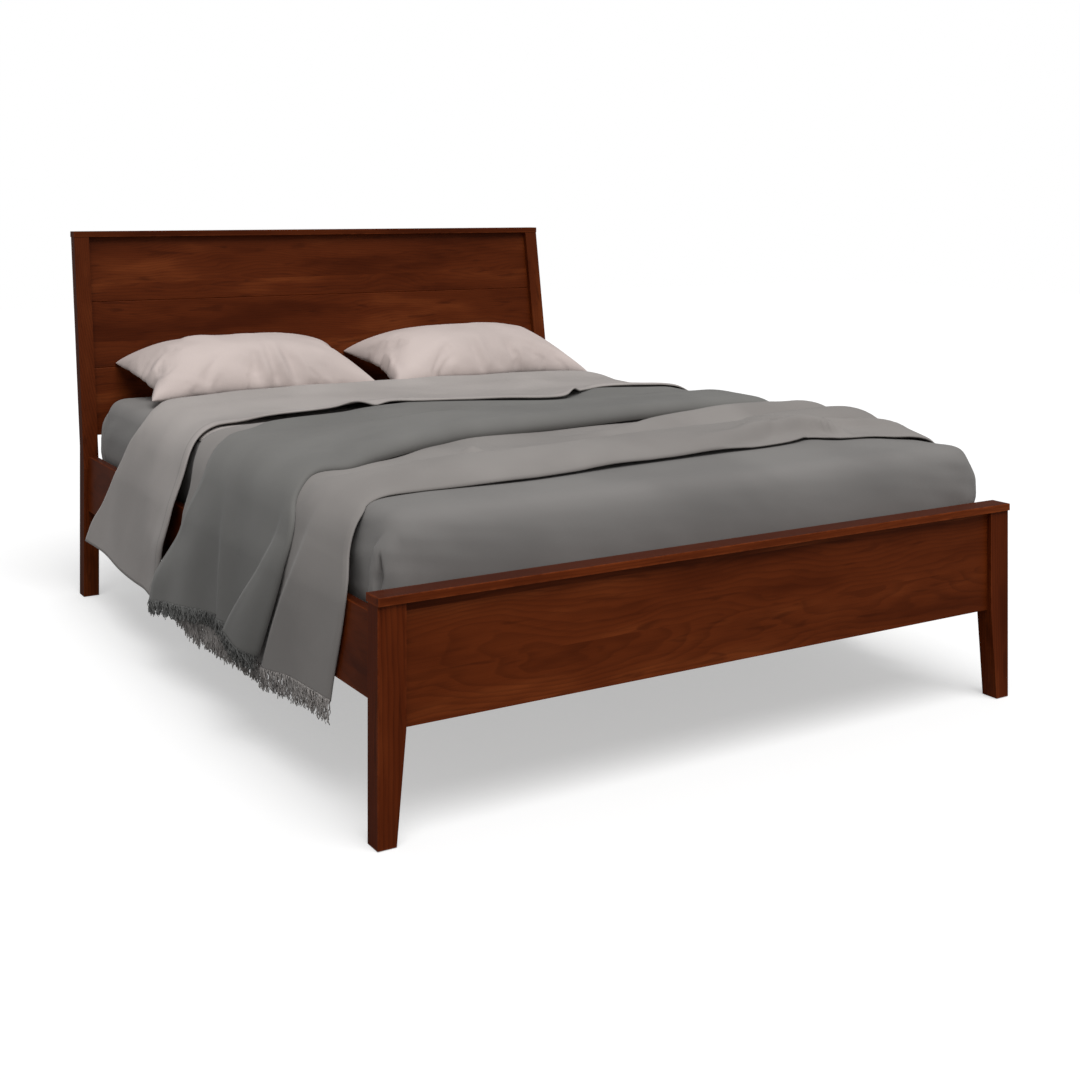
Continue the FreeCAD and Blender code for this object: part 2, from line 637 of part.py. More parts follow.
def bracket_screw_places(middle):
    """Four screws of a beam bracket, as circles for a pilot hole sketch."""
    reach = "(bracket_half + bracket_flange / 2)"
    levels = ("bracket_base + bracket_screw_edge",
              "bracket_base + bracket_height - bracket_screw_edge")
    return [(f"{middle} {sign} {reach}", level, SCREW_HOLE)
            for sign in "-+" for level in levels]


def beam_bracket(end):
    """Sheet metal saddle that carries one end of the centre beam."""
    label = f"beam_bracket_{end}"
    if end == "foot":
        plate_y, seat_y = "panel_back", "panel_back"
    else:
        plate_y = "stretcher_front - bracket_metal"
        seat_y = "stretcher_front - bracket_seat_length"
    plate_half = "(bracket_half + bracket_flange)"
    plate = block(f"{label}_plate", (f"-{plate_half}", plate_y, "bracket_base"),
                  (f"2 * {plate_half}", "bracket_metal", "bracket_height"))
    seat = block(f"{label}_seat", ("-bracket_half", seat_y, "bracket_base"),
                 ("2 * bracket_half", "bracket_seat_length", "bracket_metal"))
    cheeks = [
        block(f"{label}_cheek_{side}", (x, seat_y, "bracket_base"),
              ("bracket_metal", "bracket_seat_length", "bracket_cheek_height"))
        for side, x in zip(SIDES, ("-bracket_half", "bracket_half - bracket_metal"))
    ]
    folded = doc.addObject("Part::MultiFuse", f"{label}_folded")
    folded.Shapes = [plate, seat] + cheeks
    turn = FreeCAD.Rotation(FreeCAD.Vector(1, 0, 0), 90)
    drills = []
    for number, (x, z, diameter) in enumerate(bracket_screw_places("0")):
        drill = rod(f"{label}_hole_{number}", (x, f"{plate_y} + bracket_metal", z),
                    diameter, "bracket_metal")
        drill.Placement = FreeCAD.Placement(drill.Placement.Base, turn)
        drills.append(drill)
    drilled = doc.addObject("Part::MultiFuse", f"{label}_drills")
    drilled.Shapes = drills
    bracket = doc.addObject("Part::Cut", label)
    bracket.Base = folded
    bracket.Tool = drilled
    finish(bracket, label)


def centre_beam():
    """Beam along the middle, drilled for the inserts of its legs."""
    body = new_body("centre_beam")
    pad(body, "XZ_Plane", rectangle("-beam_width / 2", "beam_bottom", "beam_width / 2",
                                    "cleat_top"), "beam_end - beam_start", backwards=True)
    legs = [f"-beam_start {sign} leg_spacing / 2" for sign in "-+"]
    inserts = [("0", leg, "insert_diameter") for leg in legs]
    bores = [("0", leg, "thread_diameter + 2 * thread_clearance") for leg in legs]
    cut(body, "insert_holes", "XY_Plane", "insert_length", circles=inserts,
        height="beam_bottom", forwards=True)
    cut(body, "bolt_bores", "XY_Plane", "bolt_in_beam + thread_clearance", circles=bores,
        height="beam_bottom", forwards=True)
    move(body, "0", "beam_start", "0")


def centre_leg(end, y):
    """Square leg under the beam with its levelling foot."""
    body = new_body(f"centre_leg_{end}")
    half = "leg_size / 2"
    pad(body, "XY_Plane", rectangle(f"-{half}", f"-{half}", half, half),
        "beam_bottom - leg_ground_gap")
    insert = ("0", "0", "insert_diameter")
    bore = ("0", "0", "thread_diameter + 2 * thread_clearance")
    cut(body, "insert_hole", "XY_Plane", "insert_length", circles=(insert,), forwards=True)
    cut(body, "stem_bore", "XY_Plane", "leg_bore_length", circles=(bore,), forwards=True)
    cut(body, "bolt_bore", "XY_Plane", "bolt_in_leg + thread_clearance", circles=(bore,),
        height="beam_bottom - leg_ground_gap")
    move(body, "0", y, "leg_ground_gap")
    stem = rod(f"levelling_stem_{end}", ("0", y, "pad_height - stem_seat"),
               "thread_diameter", "stem_length")
    finish(stem, f"levelling_stem_{end}")
    foot_pad = tube(f"levelling_pad_{end}", ("0", y, "0"), "pad_diameter",
                    "thread_diameter", "pad_height", from_top="stem_seat")
    finish(foot_pad, f"levelling_pad_{end}")


footboard_panel()
headboard_stretcher()
for number, name in enumerate(("lower", "middle", "upper")):
    headboard_plank(name, number)
cap("footboard_cap", "foot_cap_thickness", "foot_cap_depth", "foot_post_top",
    "foot_face - foot_cap_overhang", "foot_cap_overhang + foot_post_depth / 2",
    "foot_cap_overhang + foot_panel_recess + foot_panel_thickness / 2")
cap("headboard_cap", "head_cap_thickness", "head_cap_depth", "head_post_top",
    "head_face + head_setback - head_cap_overhang",
    "head_cap_overhang + head_upper_depth / 2",
    "head_cap_overhang + plank_recess + plank_thickness / 2")
centre_beam()
for end in ENDS:
    beam_bracket(end)
LEG_PLACES = {"foot": "-leg_spacing / 2", "head": "leg_spacing / 2"}
for end in ENDS:
    centre_leg(end, LEG_PLACES[end])


# --- side rails, cleats and slats ----------------------------------------------------

SLATS = range(int(sheet.slat_count))
WOOD_HOLE = "screw_diameter + 2 * screw_clearance"
HEAD_HOLE = "screw_head_diameter + 2 * screw_clearance"


def slat_middle(number):
    """Middle of a slat, measured from the back of the foot posts."""
    return f"slat_end_margin + slat_width / 2 + {number} * slat_pitch"


def cleat_screws():
    """Places of the cleat screws: in every other gap between slats."""
    return [slat_middle(number + 0.5) for number in SLATS[:-1:2]]


def side_rail(side):
    """Side rail with let-in hook plates and pilot holes for its cleat."""
    body = new_body(f"side_rail_{side}")
    pad(body, "XZ_Plane", rectangle("0", "0", "rail_thickness", "rail_height"),
        "inner_length", backwards=True)
    middle = "rail_thickness / 2"
    base = "(rail_height - plate_height) / 2"
    let_in_plate(body, middle, "0", forwards=False, base=base)
    let_in_plate(body, middle, "-inner_length", forwards=True, base=base)
    level = "cleat_top - cleat_height / 2 - rail_bottom"
    holes = [(place, level, WOOD_HOLE) for place in cleat_screws()]
    depth = "screw_length - cleat_width + screw_clearance"
    if side == "left":
        cut(body, "cleat_pilots", "YZ_Plane", depth, circles=holes, height="rail_thickness")
        place = "-rail_outside"
    else:
        cut(body, "cleat_pilots", "YZ_Plane", depth, circles=holes, forwards=True)
        place = "rail_inside"
    ease_top(body, "rail_edge_radius")
    move(body, place, "foot_back", "rail_bottom")


def slat_cleat(side):
    """Cleat on the inside of a rail, which carries the slat ends."""
    body = new_body(f"slat_cleat_{side}")
    pad(body, "XZ_Plane", rectangle("0", "0", "cleat_width", "cleat_height"),
        "cleat_length", backwards=True)
    level = "cleat_height / 2"
    places = [f"{place} - cleat_end_gap" for place in cleat_screws()]
    through = [(place, level, WOOD_HOLE) for place in places]
    heads = [(place, level, HEAD_HOLE) for place in places]
    cut(body, "rail_holes", "YZ_Plane", "cleat_width", circles=through, forwards=True)
    if side == "left":
        cut(body, "head_holes", "YZ_Plane", "screw_head_height", circles=heads,
            height="cleat_width")
        place = "-rail_inside"
    else:
        cut(body, "head_holes", "YZ_Plane", "screw_head_height", circles=heads,
            forwards=True)
        place = "rail_inside - cleat_width"
    pilots = [("cleat_width / 2", f"{slat_middle(number)} - cleat_end_gap", WOOD_HOLE)
              for number in SLATS]
    depth = "screw_length - slat_thickness + screw_clearance"
    cut(body, "slat_pilots", "XY_Plane", depth, circles=pilots, height="cleat_height")
    move(body, place, "foot_back + cleat_end_gap", "cleat_top - cleat_height")


def slat(number):
    """Slat across the bed with a countersunk hole at each end."""
    body = new_body(f"slat_{number + 1:02d}")
    length = "2 * (rail_inside - slat_side_gap)"
    pad(body, "XY_Plane", rectangle("0", "0", length, "slat_width"), "slat_thickness")
    end = "(cleat_width / 2 - slat_side_gap)"
    places = (end, f"{length} - {end}")
    through = [(place, "slat_width / 2", WOOD_HOLE) for place in places]
    heads = [(place, "slat_width / 2", HEAD_HOLE) for place in places]
    cut(body, "screw_holes", "XY_Plane", "slat_thickness", circles=through, forwards=True)
    cut(body, "head_holes", "XY_Plane", "screw_head_height", circles=heads,
        height="slat_thickness")
    move(body, "slat_side_gap - rail_inside",
         f"foot_back + {slat_middle(number)} - slat_width / 2", "cleat_top")


for side in SIDES:
    side_rail(side)
    slat_cleat(side)
for number in SLATS:
    slat(number)


# --- hook plates and catch plates ------------------------------------------------------

HOOKS = (-1, 1)


def fitting_plate(label, x, y, height_of_slots):
    """Upright plate with countersunk screw holes and, if asked, hook slots."""
    half = "plate_width / 2"
    plate = block(f"{label}_plate", (f"{x} - {half}", y, "plate_bottom"),
                  ("plate_width", "plate_thickness", "plate_height"))
    tools = []
    turn = FreeCAD.Rotation(FreeCAD.Vector(1, 0, 0), 90)
    for number, level in enumerate(plate_screw_heights()):
        drill = rod(f"{label}_hole_{number}", (x, f"{y} + plate_thickness", level),
                    "plate_screw_head_diameter + 2 * screw_clearance", "plate_thickness")
        drill.Placement = FreeCAD.Placement(drill.Placement.Base, turn)
        tools.append(drill)
    if height_of_slots:
        width = "(hook_metal + 2 * hook_clearance)"
        for hook in HOOKS:
            low = f"plate_bottom + plate_height / 2 + {hook} * hook_spacing / 2 - hook_root / 2"
            tools.append(block(f"{label}_slot_{hook}", (f"{x} - {width} / 2", y, low),
                               (width, "plate_thickness", height_of_slots)))
    drilled = doc.addObject("Part::MultiFuse", f"{label}_tools")
    drilled.Shapes = tools
    pierced = doc.addObject("Part::Cut", f"{label}_pierced")
    pierced.Base = plate
    pierced.Tool = drilled
    return pierced


def rail_fitting(end, side):
    """Catch plate in a post and the hook plate in the rail end that hangs on it."""
    sign = "-" if side == "left" else ""
    x = f"{sign}(post_span / 2 - rail_middle)"
    if end == "foot":
        catch_y, hook_y = "foot_back - plate_thickness", "foot_back"
        root_y = "foot_back - hook_reach"
        lip_y = "foot_back - hook_reach - hook_lip"
    else:
        catch_y, hook_y = "head_face", "head_face - plate_thickness"
        root_y = "head_face"
        lip_y = "head_face + hook_reach"
    slot = "hook_root + hook_drop + hook_clearance"
    finish(fitting_plate(f"catch_plate_{end}_{side}", x, catch_y, slot),
           f"catch_plate_{end}_{side}")
    label = f"hook_plate_{end}_{side}"
    solids = [fitting_plate(label, x, hook_y, None)]
    for hook in HOOKS:
        middle = f"plate_bottom + plate_height / 2 + {hook} * hook_spacing / 2"
        low = f"{middle} - hook_root / 2"
        solids.append(block(f"{label}_root_{hook}", (f"{x} - hook_metal / 2", root_y, low),
                            ("hook_metal", "hook_reach", "hook_root")))
        solids.append(block(f"{label}_lip_{hook}",
                            (f"{x} - hook_metal / 2", lip_y, f"{low} - hook_drop"),
                            ("hook_metal", "hook_lip", "hook_root + hook_drop")))
    fused = doc.addObject("Part::MultiFuse", label)
    fused.Shapes = solids
    finish(fused, label)


for end in ENDS:
    for side in SIDES:
        rail_fitting(end, side)
doc.recompute()


# --- groups of equal fasteners ------------------------------------------------------------

readings = doc.addObject("Spreadsheet::Sheet", "readings")


@functools.lru_cache(maxsize=None)
def read(formula):
    """Value of a formula in plain sheet names, worked out in a second sheet."""
    readings.set("A1", f"={bound(formula)}")
    readings.recompute()
    return float(readings.get("A1"))


def point_at(x, y, z):
    """Point whose coordinates are formulas."""
    return FreeCAD.Vector(read(x), read(y), read(z))


def mirrored(x):
    """Formulas for a place on the left and on the right side."""
    return (f"-({x})", x)


def wood_screws():
    """Screws through the slats into the cleats and through these into the rails."""
    sizes = [read(name) for name in ("screw_diameter", "screw_length",
                                     "screw_head_diameter", "screw_head_height")]
    solids = []
    down = FreeCAD.Vector(0, 0, -1)
    for x in mirrored("rail_inside - cleat_width / 2"):
        for number in SLATS:
            tip = point_at(x, f"foot_back + {slat_middle(number)}", "slat_top - screw_length")
            solids.append(screw_solid(*sizes, tip, down))
    for x, outward in zip(mirrored("rail_inside - cleat_width + screw_length"), (-1, 1)):
        for along in cleat_screws():
            tip = point_at(x, f"foot_back + {along}", "cleat_top - cleat_height / 2")
            solids.append(screw_solid(*sizes, tip, FreeCAD.Vector(outward, 0, 0)))
    return group("wood_screws", solids)


def plate_screws():
    """Screws of the rail fittings and of the beam brackets."""
    sizes = [read(name) for name in ("plate_screw_diameter", "plate_screw_length",
                                     "plate_screw_head_diameter",
                                     "plate_screw_head_height")]
    solids = []
    to_head = FreeCAD.Vector(0, 1, 0)
    seated = "plate_screw_length"
    for x in mirrored("post_span / 2 - rail_middle"):
        for level in plate_screw_heights():
            for seat, direction in (
                ("foot_back", -to_head), ("foot_back", to_head),
                ("head_face", -to_head), ("head_face", to_head),
            ):
                sign = "+" if direction == to_head else "-"
                tip = point_at(x, f"{seat} {sign} {seated}", level)
                solids.append(screw_solid(*sizes, tip, direction))
    for x, level, _ in bracket_screw_places("0"):
        head_gap = "bracket_metal + plate_screw_head_height"
        tip = point_at(x, f"panel_back + {head_gap} - {seated}", level)
        solids.append(screw_solid(*sizes, tip, -to_head))
        tip = point_at(x, f"stretcher_front - ({head_gap}) + {seated}", level)
        solids.append(screw_solid(*sizes, tip, to_head))
    return group("plate_screws", solids)


def cap_dowels():
    """Dowels between both caps and the posts and panels under them."""
    length = read("dowel_in_cap + dowel_in_post")
    rows = (
        ("foot_post_top", "foot_face + foot_post_depth / 2",
         "foot_face + foot_panel_recess + foot_panel_thickness / 2"),
        ("head_post_top", "head_face + head_setback + head_upper_depth / 2",
         "head_face + head_setback + plank_recess + plank_thickness / 2"),
    )
    solids = []
    for top, post_y, panel_y in rows:
        spots = [(x, post_y) for x in mirrored("post_span / 2 - dowel_inset")]
        spots += [(x, panel_y) for x in ("-dowel_spacing", "0", "dowel_spacing")]
        for x, y in spots:
            foot = point_at(x, y, f"{top} - dowel_in_post")
            solids.append(Part.makeCylinder(read("dowel_diameter / 2"), length, foot))
    return group("cap_dowels", solids)


def threaded_inserts():
    """Inserts in the leg ends and in the beam over the legs."""
    outside = read("insert_diameter / 2")
    inside = read("thread_diameter / 2 + thread_clearance")
    length = read("insert_length")
    solids = []
    for y in LEG_PLACES.values():
        for base in ("leg_ground_gap", "beam_bottom"):
            foot = point_at("0", y, base)
            ring = Part.makeCylinder(outside, length, foot)
            solids.append(ring.cut(Part.makeCylinder(inside, length, foot)))
    return group("threaded_inserts", solids)


def hanger_bolts():
    """Bolts that join the centre legs to the beam."""
    solids = []
    for y in LEG_PLACES.values():
        foot = point_at("0", y, "beam_bottom - bolt_in_leg")
        length = read("bolt_in_leg + bolt_in_beam")
        solids.append(Part.makeCylinder(read("thread_diameter / 2"), length, foot))
    return group("hanger_bolts", solids)


wood_screws()
plate_screws()
cap_dowels()
threaded_inserts()
hanger_bolts()


# --- bedding ----------------------------------------------------------------------------------

def soft_piece(label, sections):
    """Closed solid lofted with straight ribs through closed sections."""
    feature = doc.addObject("Part::Feature", label)
    feature.Shape = Part.makeLoft(sections, True, True)
    feature.Placement = FreeCAD.Placement()
    return finish(feature, label)


def rounded_rectangle(half_x, half_y, radius, centre, z):
    """Level outline with four straight sides and four quarter round corners."""
    edges = []
    corners = ((1, 1), (-1, 1), (-1, -1), (1, -1))
    diagonal = radius * math.sqrt(0.5)
    for number, (sx, sy) in enumerate(corners):
        hub = FreeCAD.Vector(sx * (half_x - radius), centre + sy * (half_y - radius), z)
        along_x = hub + FreeCAD.Vector(sx * radius, 0, 0)
        along_y = hub + FreeCAD.Vector(0, sy * radius, 0)
        middle = hub + FreeCAD.Vector(sx * diagonal, sy * diagonal, 0)
        start, end = (along_x, along_y) if sx == sy else (along_y, along_x)
        if number:
            edges.append(Part.makeLine(last, start))
        else:
            first = start
        edges.append(Part.Arc(start, middle, end).toShape())
        last = end
    edges.append(Part.makeLine(last, first))
    return Part.Wire(edges)


# Mattress form from the bottom up: share of the height, distance inside the mattress size.
MATTRESS_FORM = (
    (0, 14), (0.045, 3), (0.17, 0), (0.62, 0), (0.78, 4), (0.875, 15),
    (0.932, 36), (0.97, 80), (0.992, 200), (1, 420),
)


def mattress_sections(grown):
    """Level outlines of the mattress form, grown outwards and upwards."""
    centre = read("mattress_start + mattress_length / 2")
    return [
        rounded_rectangle(
            read("mattress_width / 2") - inset + grown,
            read("mattress_length / 2") - inset + grown,
            read("mattress_corner"), centre,
            read("mattress_base") + share * (read("mattress_height") + grown))
        for share, inset in MATTRESS_FORM
    ]


def mattress_and_sheet():
    """Mattress with a low crown, and its fitted sheet as a thin hood over it."""
    soft_piece("mattress", mattress_sections(0))
    hood = Part.makeLoft(mattress_sections(read("soft_gap + sheet_thickness")), True, True)
    inside = Part.makeLoft(mattress_sections(read("soft_gap")), True, True)
    feature = doc.addObject("Part::Feature", "fitted_sheet")
    feature.Shape = hood.cut(inside)
    feature.Placement = FreeCAD.Placement()
    finish(feature, "fitted_sheet")


# Places of a pillow's sections, as shares of its half length.
PILLOW_STATIONS = (-1, -0.95, -0.84, -0.68, -0.46, -0.2, 0, 0.2, 0.46, 0.68, 0.84, 0.95, 1)
PILLOW_END_POWER = 2.6
PILLOW_CROWN_POWER = 0.62


def pillow(side):
    """Pillow leaning on the headboard: crowned, with drawn-in seams and corners."""
    half_length = read("pillow_length / 2")
    half_depth = read("pillow_depth / 2")
    edge = read("pillow_seam")
    tilt = math.radians(read("pillow_tilt"))
    seam_z = read("pillow_seam_height")
    back_z = seam_z + half_depth * math.sin(tilt)
    board = read("head_face + plank_recess")
    board += (back_z - read("head_bend_height")) * read("lean")
    seam_y = board - read("pillow_back_gap") - half_depth * math.cos(tilt)
    centre_x = read("(pillow_length + pillow_spacing) / 2")
    if side == "left":
        centre_x = -centre_x

    def spot(x, depth, rise):
        return FreeCAD.Vector(
            x,
            seam_y + depth * math.cos(tilt) - rise * math.sin(tilt),
            seam_z + depth * math.sin(tilt) + rise * math.cos(tilt),
        )

    sections = []
    for share in PILLOW_STATIONS:
        fullness = (1 - abs(share) ** PILLOW_END_POWER) ** PILLOW_CROWN_POWER
        depth = half_depth - read("pillow_draw") * (1 - share * share)
        rise = edge + (read("pillow_rise") - edge) * fullness
        drop = edge + (read("pillow_drop") - edge) * fullness
        x = centre_x + share * half_length
        front_low, front_high = spot(x, -depth, -edge / 2), spot(x, -depth, edge / 2)
        back_low, back_high = spot(x, depth, -edge / 2), spot(x, depth, edge / 2)
        sections.append(Part.Wire([
            Part.makeLine(front_low, front_high),
            Part.Arc(front_high, spot(x, 0, rise), back_high).toShape(),
            Part.makeLine(back_high, back_low),
            Part.Arc(back_low, spot(x, 0, -drop), front_low).toShape(),
        ]))
    return soft_piece(f"pillow_{side}", sections)


def waves(y, first, last, pitch):
    """Row of round waves, 0 to 1 high, that fills the stretch from first to last."""
    if not first < y < last:
        return 0
    count = max(1, round((last - first) / pitch))
    return math.sin(math.pi * count * (y - first) / (last - first)) ** 2


def drape_section(place, offset, hang, rises=(0, 0, 0)):
    """Closed section of a cloth over the bed and down both sides.

    Place is (top_y, skew, sweep): the section lies in the plane
    y = top_y + skew * x + sweep * (top of the bed - z). Offset is the cloth's distance
    from the bed, hang(y) its folds down the sides, and rises the height of its long
    waves at the left side, in the middle and at the right side of the top. Folds are
    full at the lower edge and end at the bend, where the waves begin.
    """
    top_y, skew, sweep = place
    top = read("bed_top + soft_gap")
    half = read("mattress_width / 2")
    outside = read("rail_outside + soft_gap")

    def bow(distance, side):
        """Points of one half, from its lower edge to the middle of the bed."""
        side_rise = rises[0] if side < 0 else rises[2]

        def at(x, z, folded, raised=0):
            before = top_y + skew * side * x + sweep * (top - z)
            across = side * (x + folded * hang(before))
            return FreeCAD.Vector(across, top_y + skew * across + sweep * (top - z - raised),
                                  z + raised)

        return (
            at(outside + distance, read("cloth_bottom"), 1),
            at(outside + distance, read("rail_bottom + rail_height + knee_rise"), 0.9),
            at(half + read("shoulder_reach") + distance, top - read("shoulder_drop"), 0.4),
            at(half - read("corner_reach") + distance,
               top - read("corner_drop") + 0.6 * distance, 0.15, 0.6 * side_rise),
            at(half - read("corner_inset"), top - read("corner_sag") + distance, 0, side_rise),
            at(0, top + read("crown_rise") + distance, 0, rises[1]),
        )

    def strands(distance):
        """Cloth line from the right lower edge to the left: 2 points a line, 3 an arc."""
        halves = []
        for side in (1, -1):
            low, knee, shoulder, middle, corner, crown = bow(distance, side)
            halves.append([(low, knee), (knee, shoulder), (shoulder, middle, corner)])
        right, left = halves
        left = [tuple(reversed(strand)) for strand in reversed(left)]
        return right + [(right[-1][-1], crown, left[0][0])] + left

    outer = strands(offset + read("cloth_thickness"))
    inner = [tuple(reversed(strand)) for strand in reversed(strands(offset))]
    loop = outer + [(outer[-1][-1], inner[0][0])] + inner + [(inner[-1][-1], outer[0][0])]
    return Part.Wire([
        Part.makeLine(*strand) if len(strand) == 2 else Part.Arc(*strand).toShape()
        for strand in loop
    ])


def spread(first, last, count):
    """Evenly spaced numbers from first to last."""
    return [first + (last - first) * step / (count - 1) for step in range(count)]


def blend(amount, first, last):
    """Numbers part of the way from first to last."""
    return tuple(start + (end - start) * amount for start, end in zip(first, last))


# Long waves of the throws: how far along the stretch, then the height at the left side, in
# the middle and at the right side, as shares of the highest. The middle is never lower than
# halfway between the sides, so that a section stays crowned.
LIGHT_WAVES = (
    (0, (0, 0, 0)), (0.08, (0.4, 0.5, 0.4)), (0.2, (0.6, 0.85, 0.75)), (0.34, (0.7, 1, 1)),
    (0.46, (0.65, 0.85, 1)), (0.6, (0.3, 0.45, 0.55)), (0.74, (0.15, 0.5, 0.8)),
    (0.88, (0.1, 0.3, 0.5)), (1, (0, 0, 0)),
)
DARK_WAVES = (
    (0, (0, 0, 0)), (0.03, (0.5, 0.6, 0.5)), (0.09, (0.9, 1, 0.9)), (0.2, (0.9, 1, 0.9)),
    (0.31, (0.7, 0.9, 0.7)), (0.42, (0.5, 0.75, 0.55)), (0.53, (0.35, 0.6, 0.4)),
    (0.64, (0.25, 0.4, 0.25)), (0.75, (0.1, 0.2, 0.1)), (0.87, (0, 0.05, 0)), (1, (0, 0, 0)),
)


def throws():
    """Light throw, and the dark throw over all but its front."""
    front, head = read("throw_start"), read("throw_end")
    front_place = (front, read("throw_front_skew"), read("throw_front_sweep"))
    dark_place = (front + read("throw_reveal"), read("dark_front_skew"),
                  read("throw_front_sweep"))
    head_place = (head, 0, read("throw_head_sweep"))
    covered = 1 - read("throw_step") / (head - dark_place[0])
    fold_ends = (front - read("fold_lead"), head - read("smooth_end"))

    def hang(y):
        return read("fold_depth") * waves(y, *fold_ends, read("fold_pitch"))

    def section(layer, place, heights):
        rises = [read("roll_height") * share for share in heights]
        return drape_section(place, layer * read("cloth_step"), hang, rises)

    strip = [(blend(share, front_place, dark_place), heights)
             for share, heights in LIGHT_WAVES[:-1]]
    shared = [(blend(share * covered, dark_place, head_place), heights)
              for share, heights in DARK_WAVES]
    soft_piece("throw_light", [section(0, *row) for row in strip + shared])
    soft_piece("throw_dark", [section(1, *row) for row in shared + [(head_place, (0, 0, 0))]])


# Share of the turned down part that lies over the dark throw, and where it meets the bed.
COVERLET_OVER_THROW = 0.2
COVERLET_ON_BED = 0.42


def turned_down_coverlet():
    """Coverlet's turned down end: over the dark throw at its hem, on the bed behind it."""
    hem, fold = read("coverlet_hem"), read("coverlet_fold")
    hem_place = (hem, 0, read("coverlet_hem_sweep"))
    fold_place = (fold, 0, read("coverlet_head_sweep"))
    first_fold = read("throw_end + coverlet_flat")
    fold_ends = (first_fold, first_fold + 2 * read("fold_pitch"))

    def hang(y):
        return read("fold_depth") * waves(y, *fold_ends, read("fold_pitch"))

    sections = []
    for amount in spread(0, 1, 13):
        fall = (amount - COVERLET_OVER_THROW) / (COVERLET_ON_BED - COVERLET_OVER_THROW)
        layers = 2 * (1 - min(1, max(0, fall)))
        sections.append(drape_section(
            blend(amount, hem_place, fold_place), layers * read("cloth_step"), hang))
    soft_piece("turned_down_coverlet", sections)


mattress_and_sheet()
for side in SIDES:
    pillow(side)
throws()
turned_down_coverlet()


# --- check and write ------------------------------------------------------------------------------

doc.recompute()
for item in doc.Objects:
    if {"Invalid", "Error"} & set(item.State):
        raise RuntimeError(f"{item.Label}: {item.State}")
os.makedirs("parts", exist_ok=True)
for piece in pieces:
    if piece.Shape.isNull() or not piece.Shape.isValid():
        raise RuntimeError(f"{piece.Label}: bad shape")
    piece.Shape.exportStep(f"parts/{piece.Label}.step")
print(f"{len(pieces)} sub-parts written")
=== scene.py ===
# %% [markdown]
# # A panel bed with its bedding
# The frame of the bed comes from the construction model: posts, panels, rails, slats and
# hardware keep their exact shapes and only get finishes here. The soft things are made in
# this file: mattress, fitted sheet, pillows, two throws and a turned-down coverlet.

# %% Load the frame
import math
from functools import partial

import bmesh
import bpy
import numpy as np
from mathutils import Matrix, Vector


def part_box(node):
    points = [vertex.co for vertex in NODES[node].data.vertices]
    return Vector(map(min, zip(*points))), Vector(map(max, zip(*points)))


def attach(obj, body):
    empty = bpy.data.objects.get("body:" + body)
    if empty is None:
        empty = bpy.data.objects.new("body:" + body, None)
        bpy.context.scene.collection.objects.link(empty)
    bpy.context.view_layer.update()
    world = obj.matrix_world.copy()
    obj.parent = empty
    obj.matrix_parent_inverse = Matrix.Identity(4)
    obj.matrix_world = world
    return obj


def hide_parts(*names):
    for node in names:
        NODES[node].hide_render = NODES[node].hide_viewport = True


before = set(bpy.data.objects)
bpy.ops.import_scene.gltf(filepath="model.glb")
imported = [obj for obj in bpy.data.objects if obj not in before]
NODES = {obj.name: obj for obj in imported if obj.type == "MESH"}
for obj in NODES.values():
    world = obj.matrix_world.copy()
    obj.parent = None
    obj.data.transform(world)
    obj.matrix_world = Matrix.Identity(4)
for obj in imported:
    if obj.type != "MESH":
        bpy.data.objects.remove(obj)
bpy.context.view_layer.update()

BODY = "bed_frame"

# %% [markdown]
# ## Camera
# The photograph was taken by a level camera left of the foot end, with its view shifted
# down so that upright posts stay upright. Position, heading and focal length come from
# straight edges of the frame. A level camera plus a shift keeps the posts parallel, which a
# camera tilted down wouldn't.

# %% Camera
PHOTO_SIZE = 1080
FOCAL_PIXELS = 1508.9
VANISHING_X, HORIZON_Y = 582.2, 205.9
SENSOR = 36.0
CAMERA_PLACE = (-1.9418, -3.6126, 1.1617)
CAMERA_TURN = math.radians(32.134)    # from the bed's long axis, to the right


def new_object(name, data):
    """Make an object and put it into the scene."""
    thing = bpy.data.objects.new(name, data)
    bpy.context.scene.collection.objects.link(thing)
    return thing


camera_data = bpy.data.cameras.new("camera")
camera = new_object("camera", camera_data)
camera_data.sensor_width = SENSOR
camera_data.lens = FOCAL_PIXELS / PHOTO_SIZE * SENSOR
camera_data.shift_x = (PHOTO_SIZE / 2 - VANISHING_X) / PHOTO_SIZE
camera_data.shift_y = (HORIZON_Y - PHOTO_SIZE / 2) / PHOTO_SIZE
camera.location = CAMERA_PLACE
camera.rotation_euler = (math.pi / 2, 0, -CAMERA_TURN)
bpy.context.scene.camera = camera
print("lens", round(camera_data.lens, 2), "mm")

# %% [markdown]
# ## Node helpers
# A material is a small graph. These helpers add a node, set its plain values and link its
# inputs in one line, so that each material below reads as a list of steps.

# %% Node helpers
def add_node(tree, kind, values=None, **settings):
    """Add a node; values maps an input's name or number to a value or to another socket."""
    node = tree.nodes.new(kind)
    for name, setting in settings.items():
        setattr(node, name, setting)
    for key, value in (values or {}).items():
        if isinstance(value, bpy.types.NodeSocket):
            tree.links.new(value, node.inputs[key])
        else:
            node.inputs[key].default_value = value
    return node


def math_node(tree, operation, *terms, clamp=False):
    """Output of a Math node whose inputs are numbers or sockets."""
    return add_node(tree, "ShaderNodeMath", dict(enumerate(terms)), operation=operation,
                    use_clamp=clamp).outputs[0]


def vector_node(tree, operation, *terms, output="Vector"):
    """Output of a Vector Math node."""
    return add_node(tree, "ShaderNodeVectorMath", dict(enumerate(terms)),
                    operation=operation).outputs[output]


def split(tree, vector):
    """X, Y and Z of a vector."""
    return add_node(tree, "ShaderNodeSeparateXYZ", {0: vector}).outputs[:]


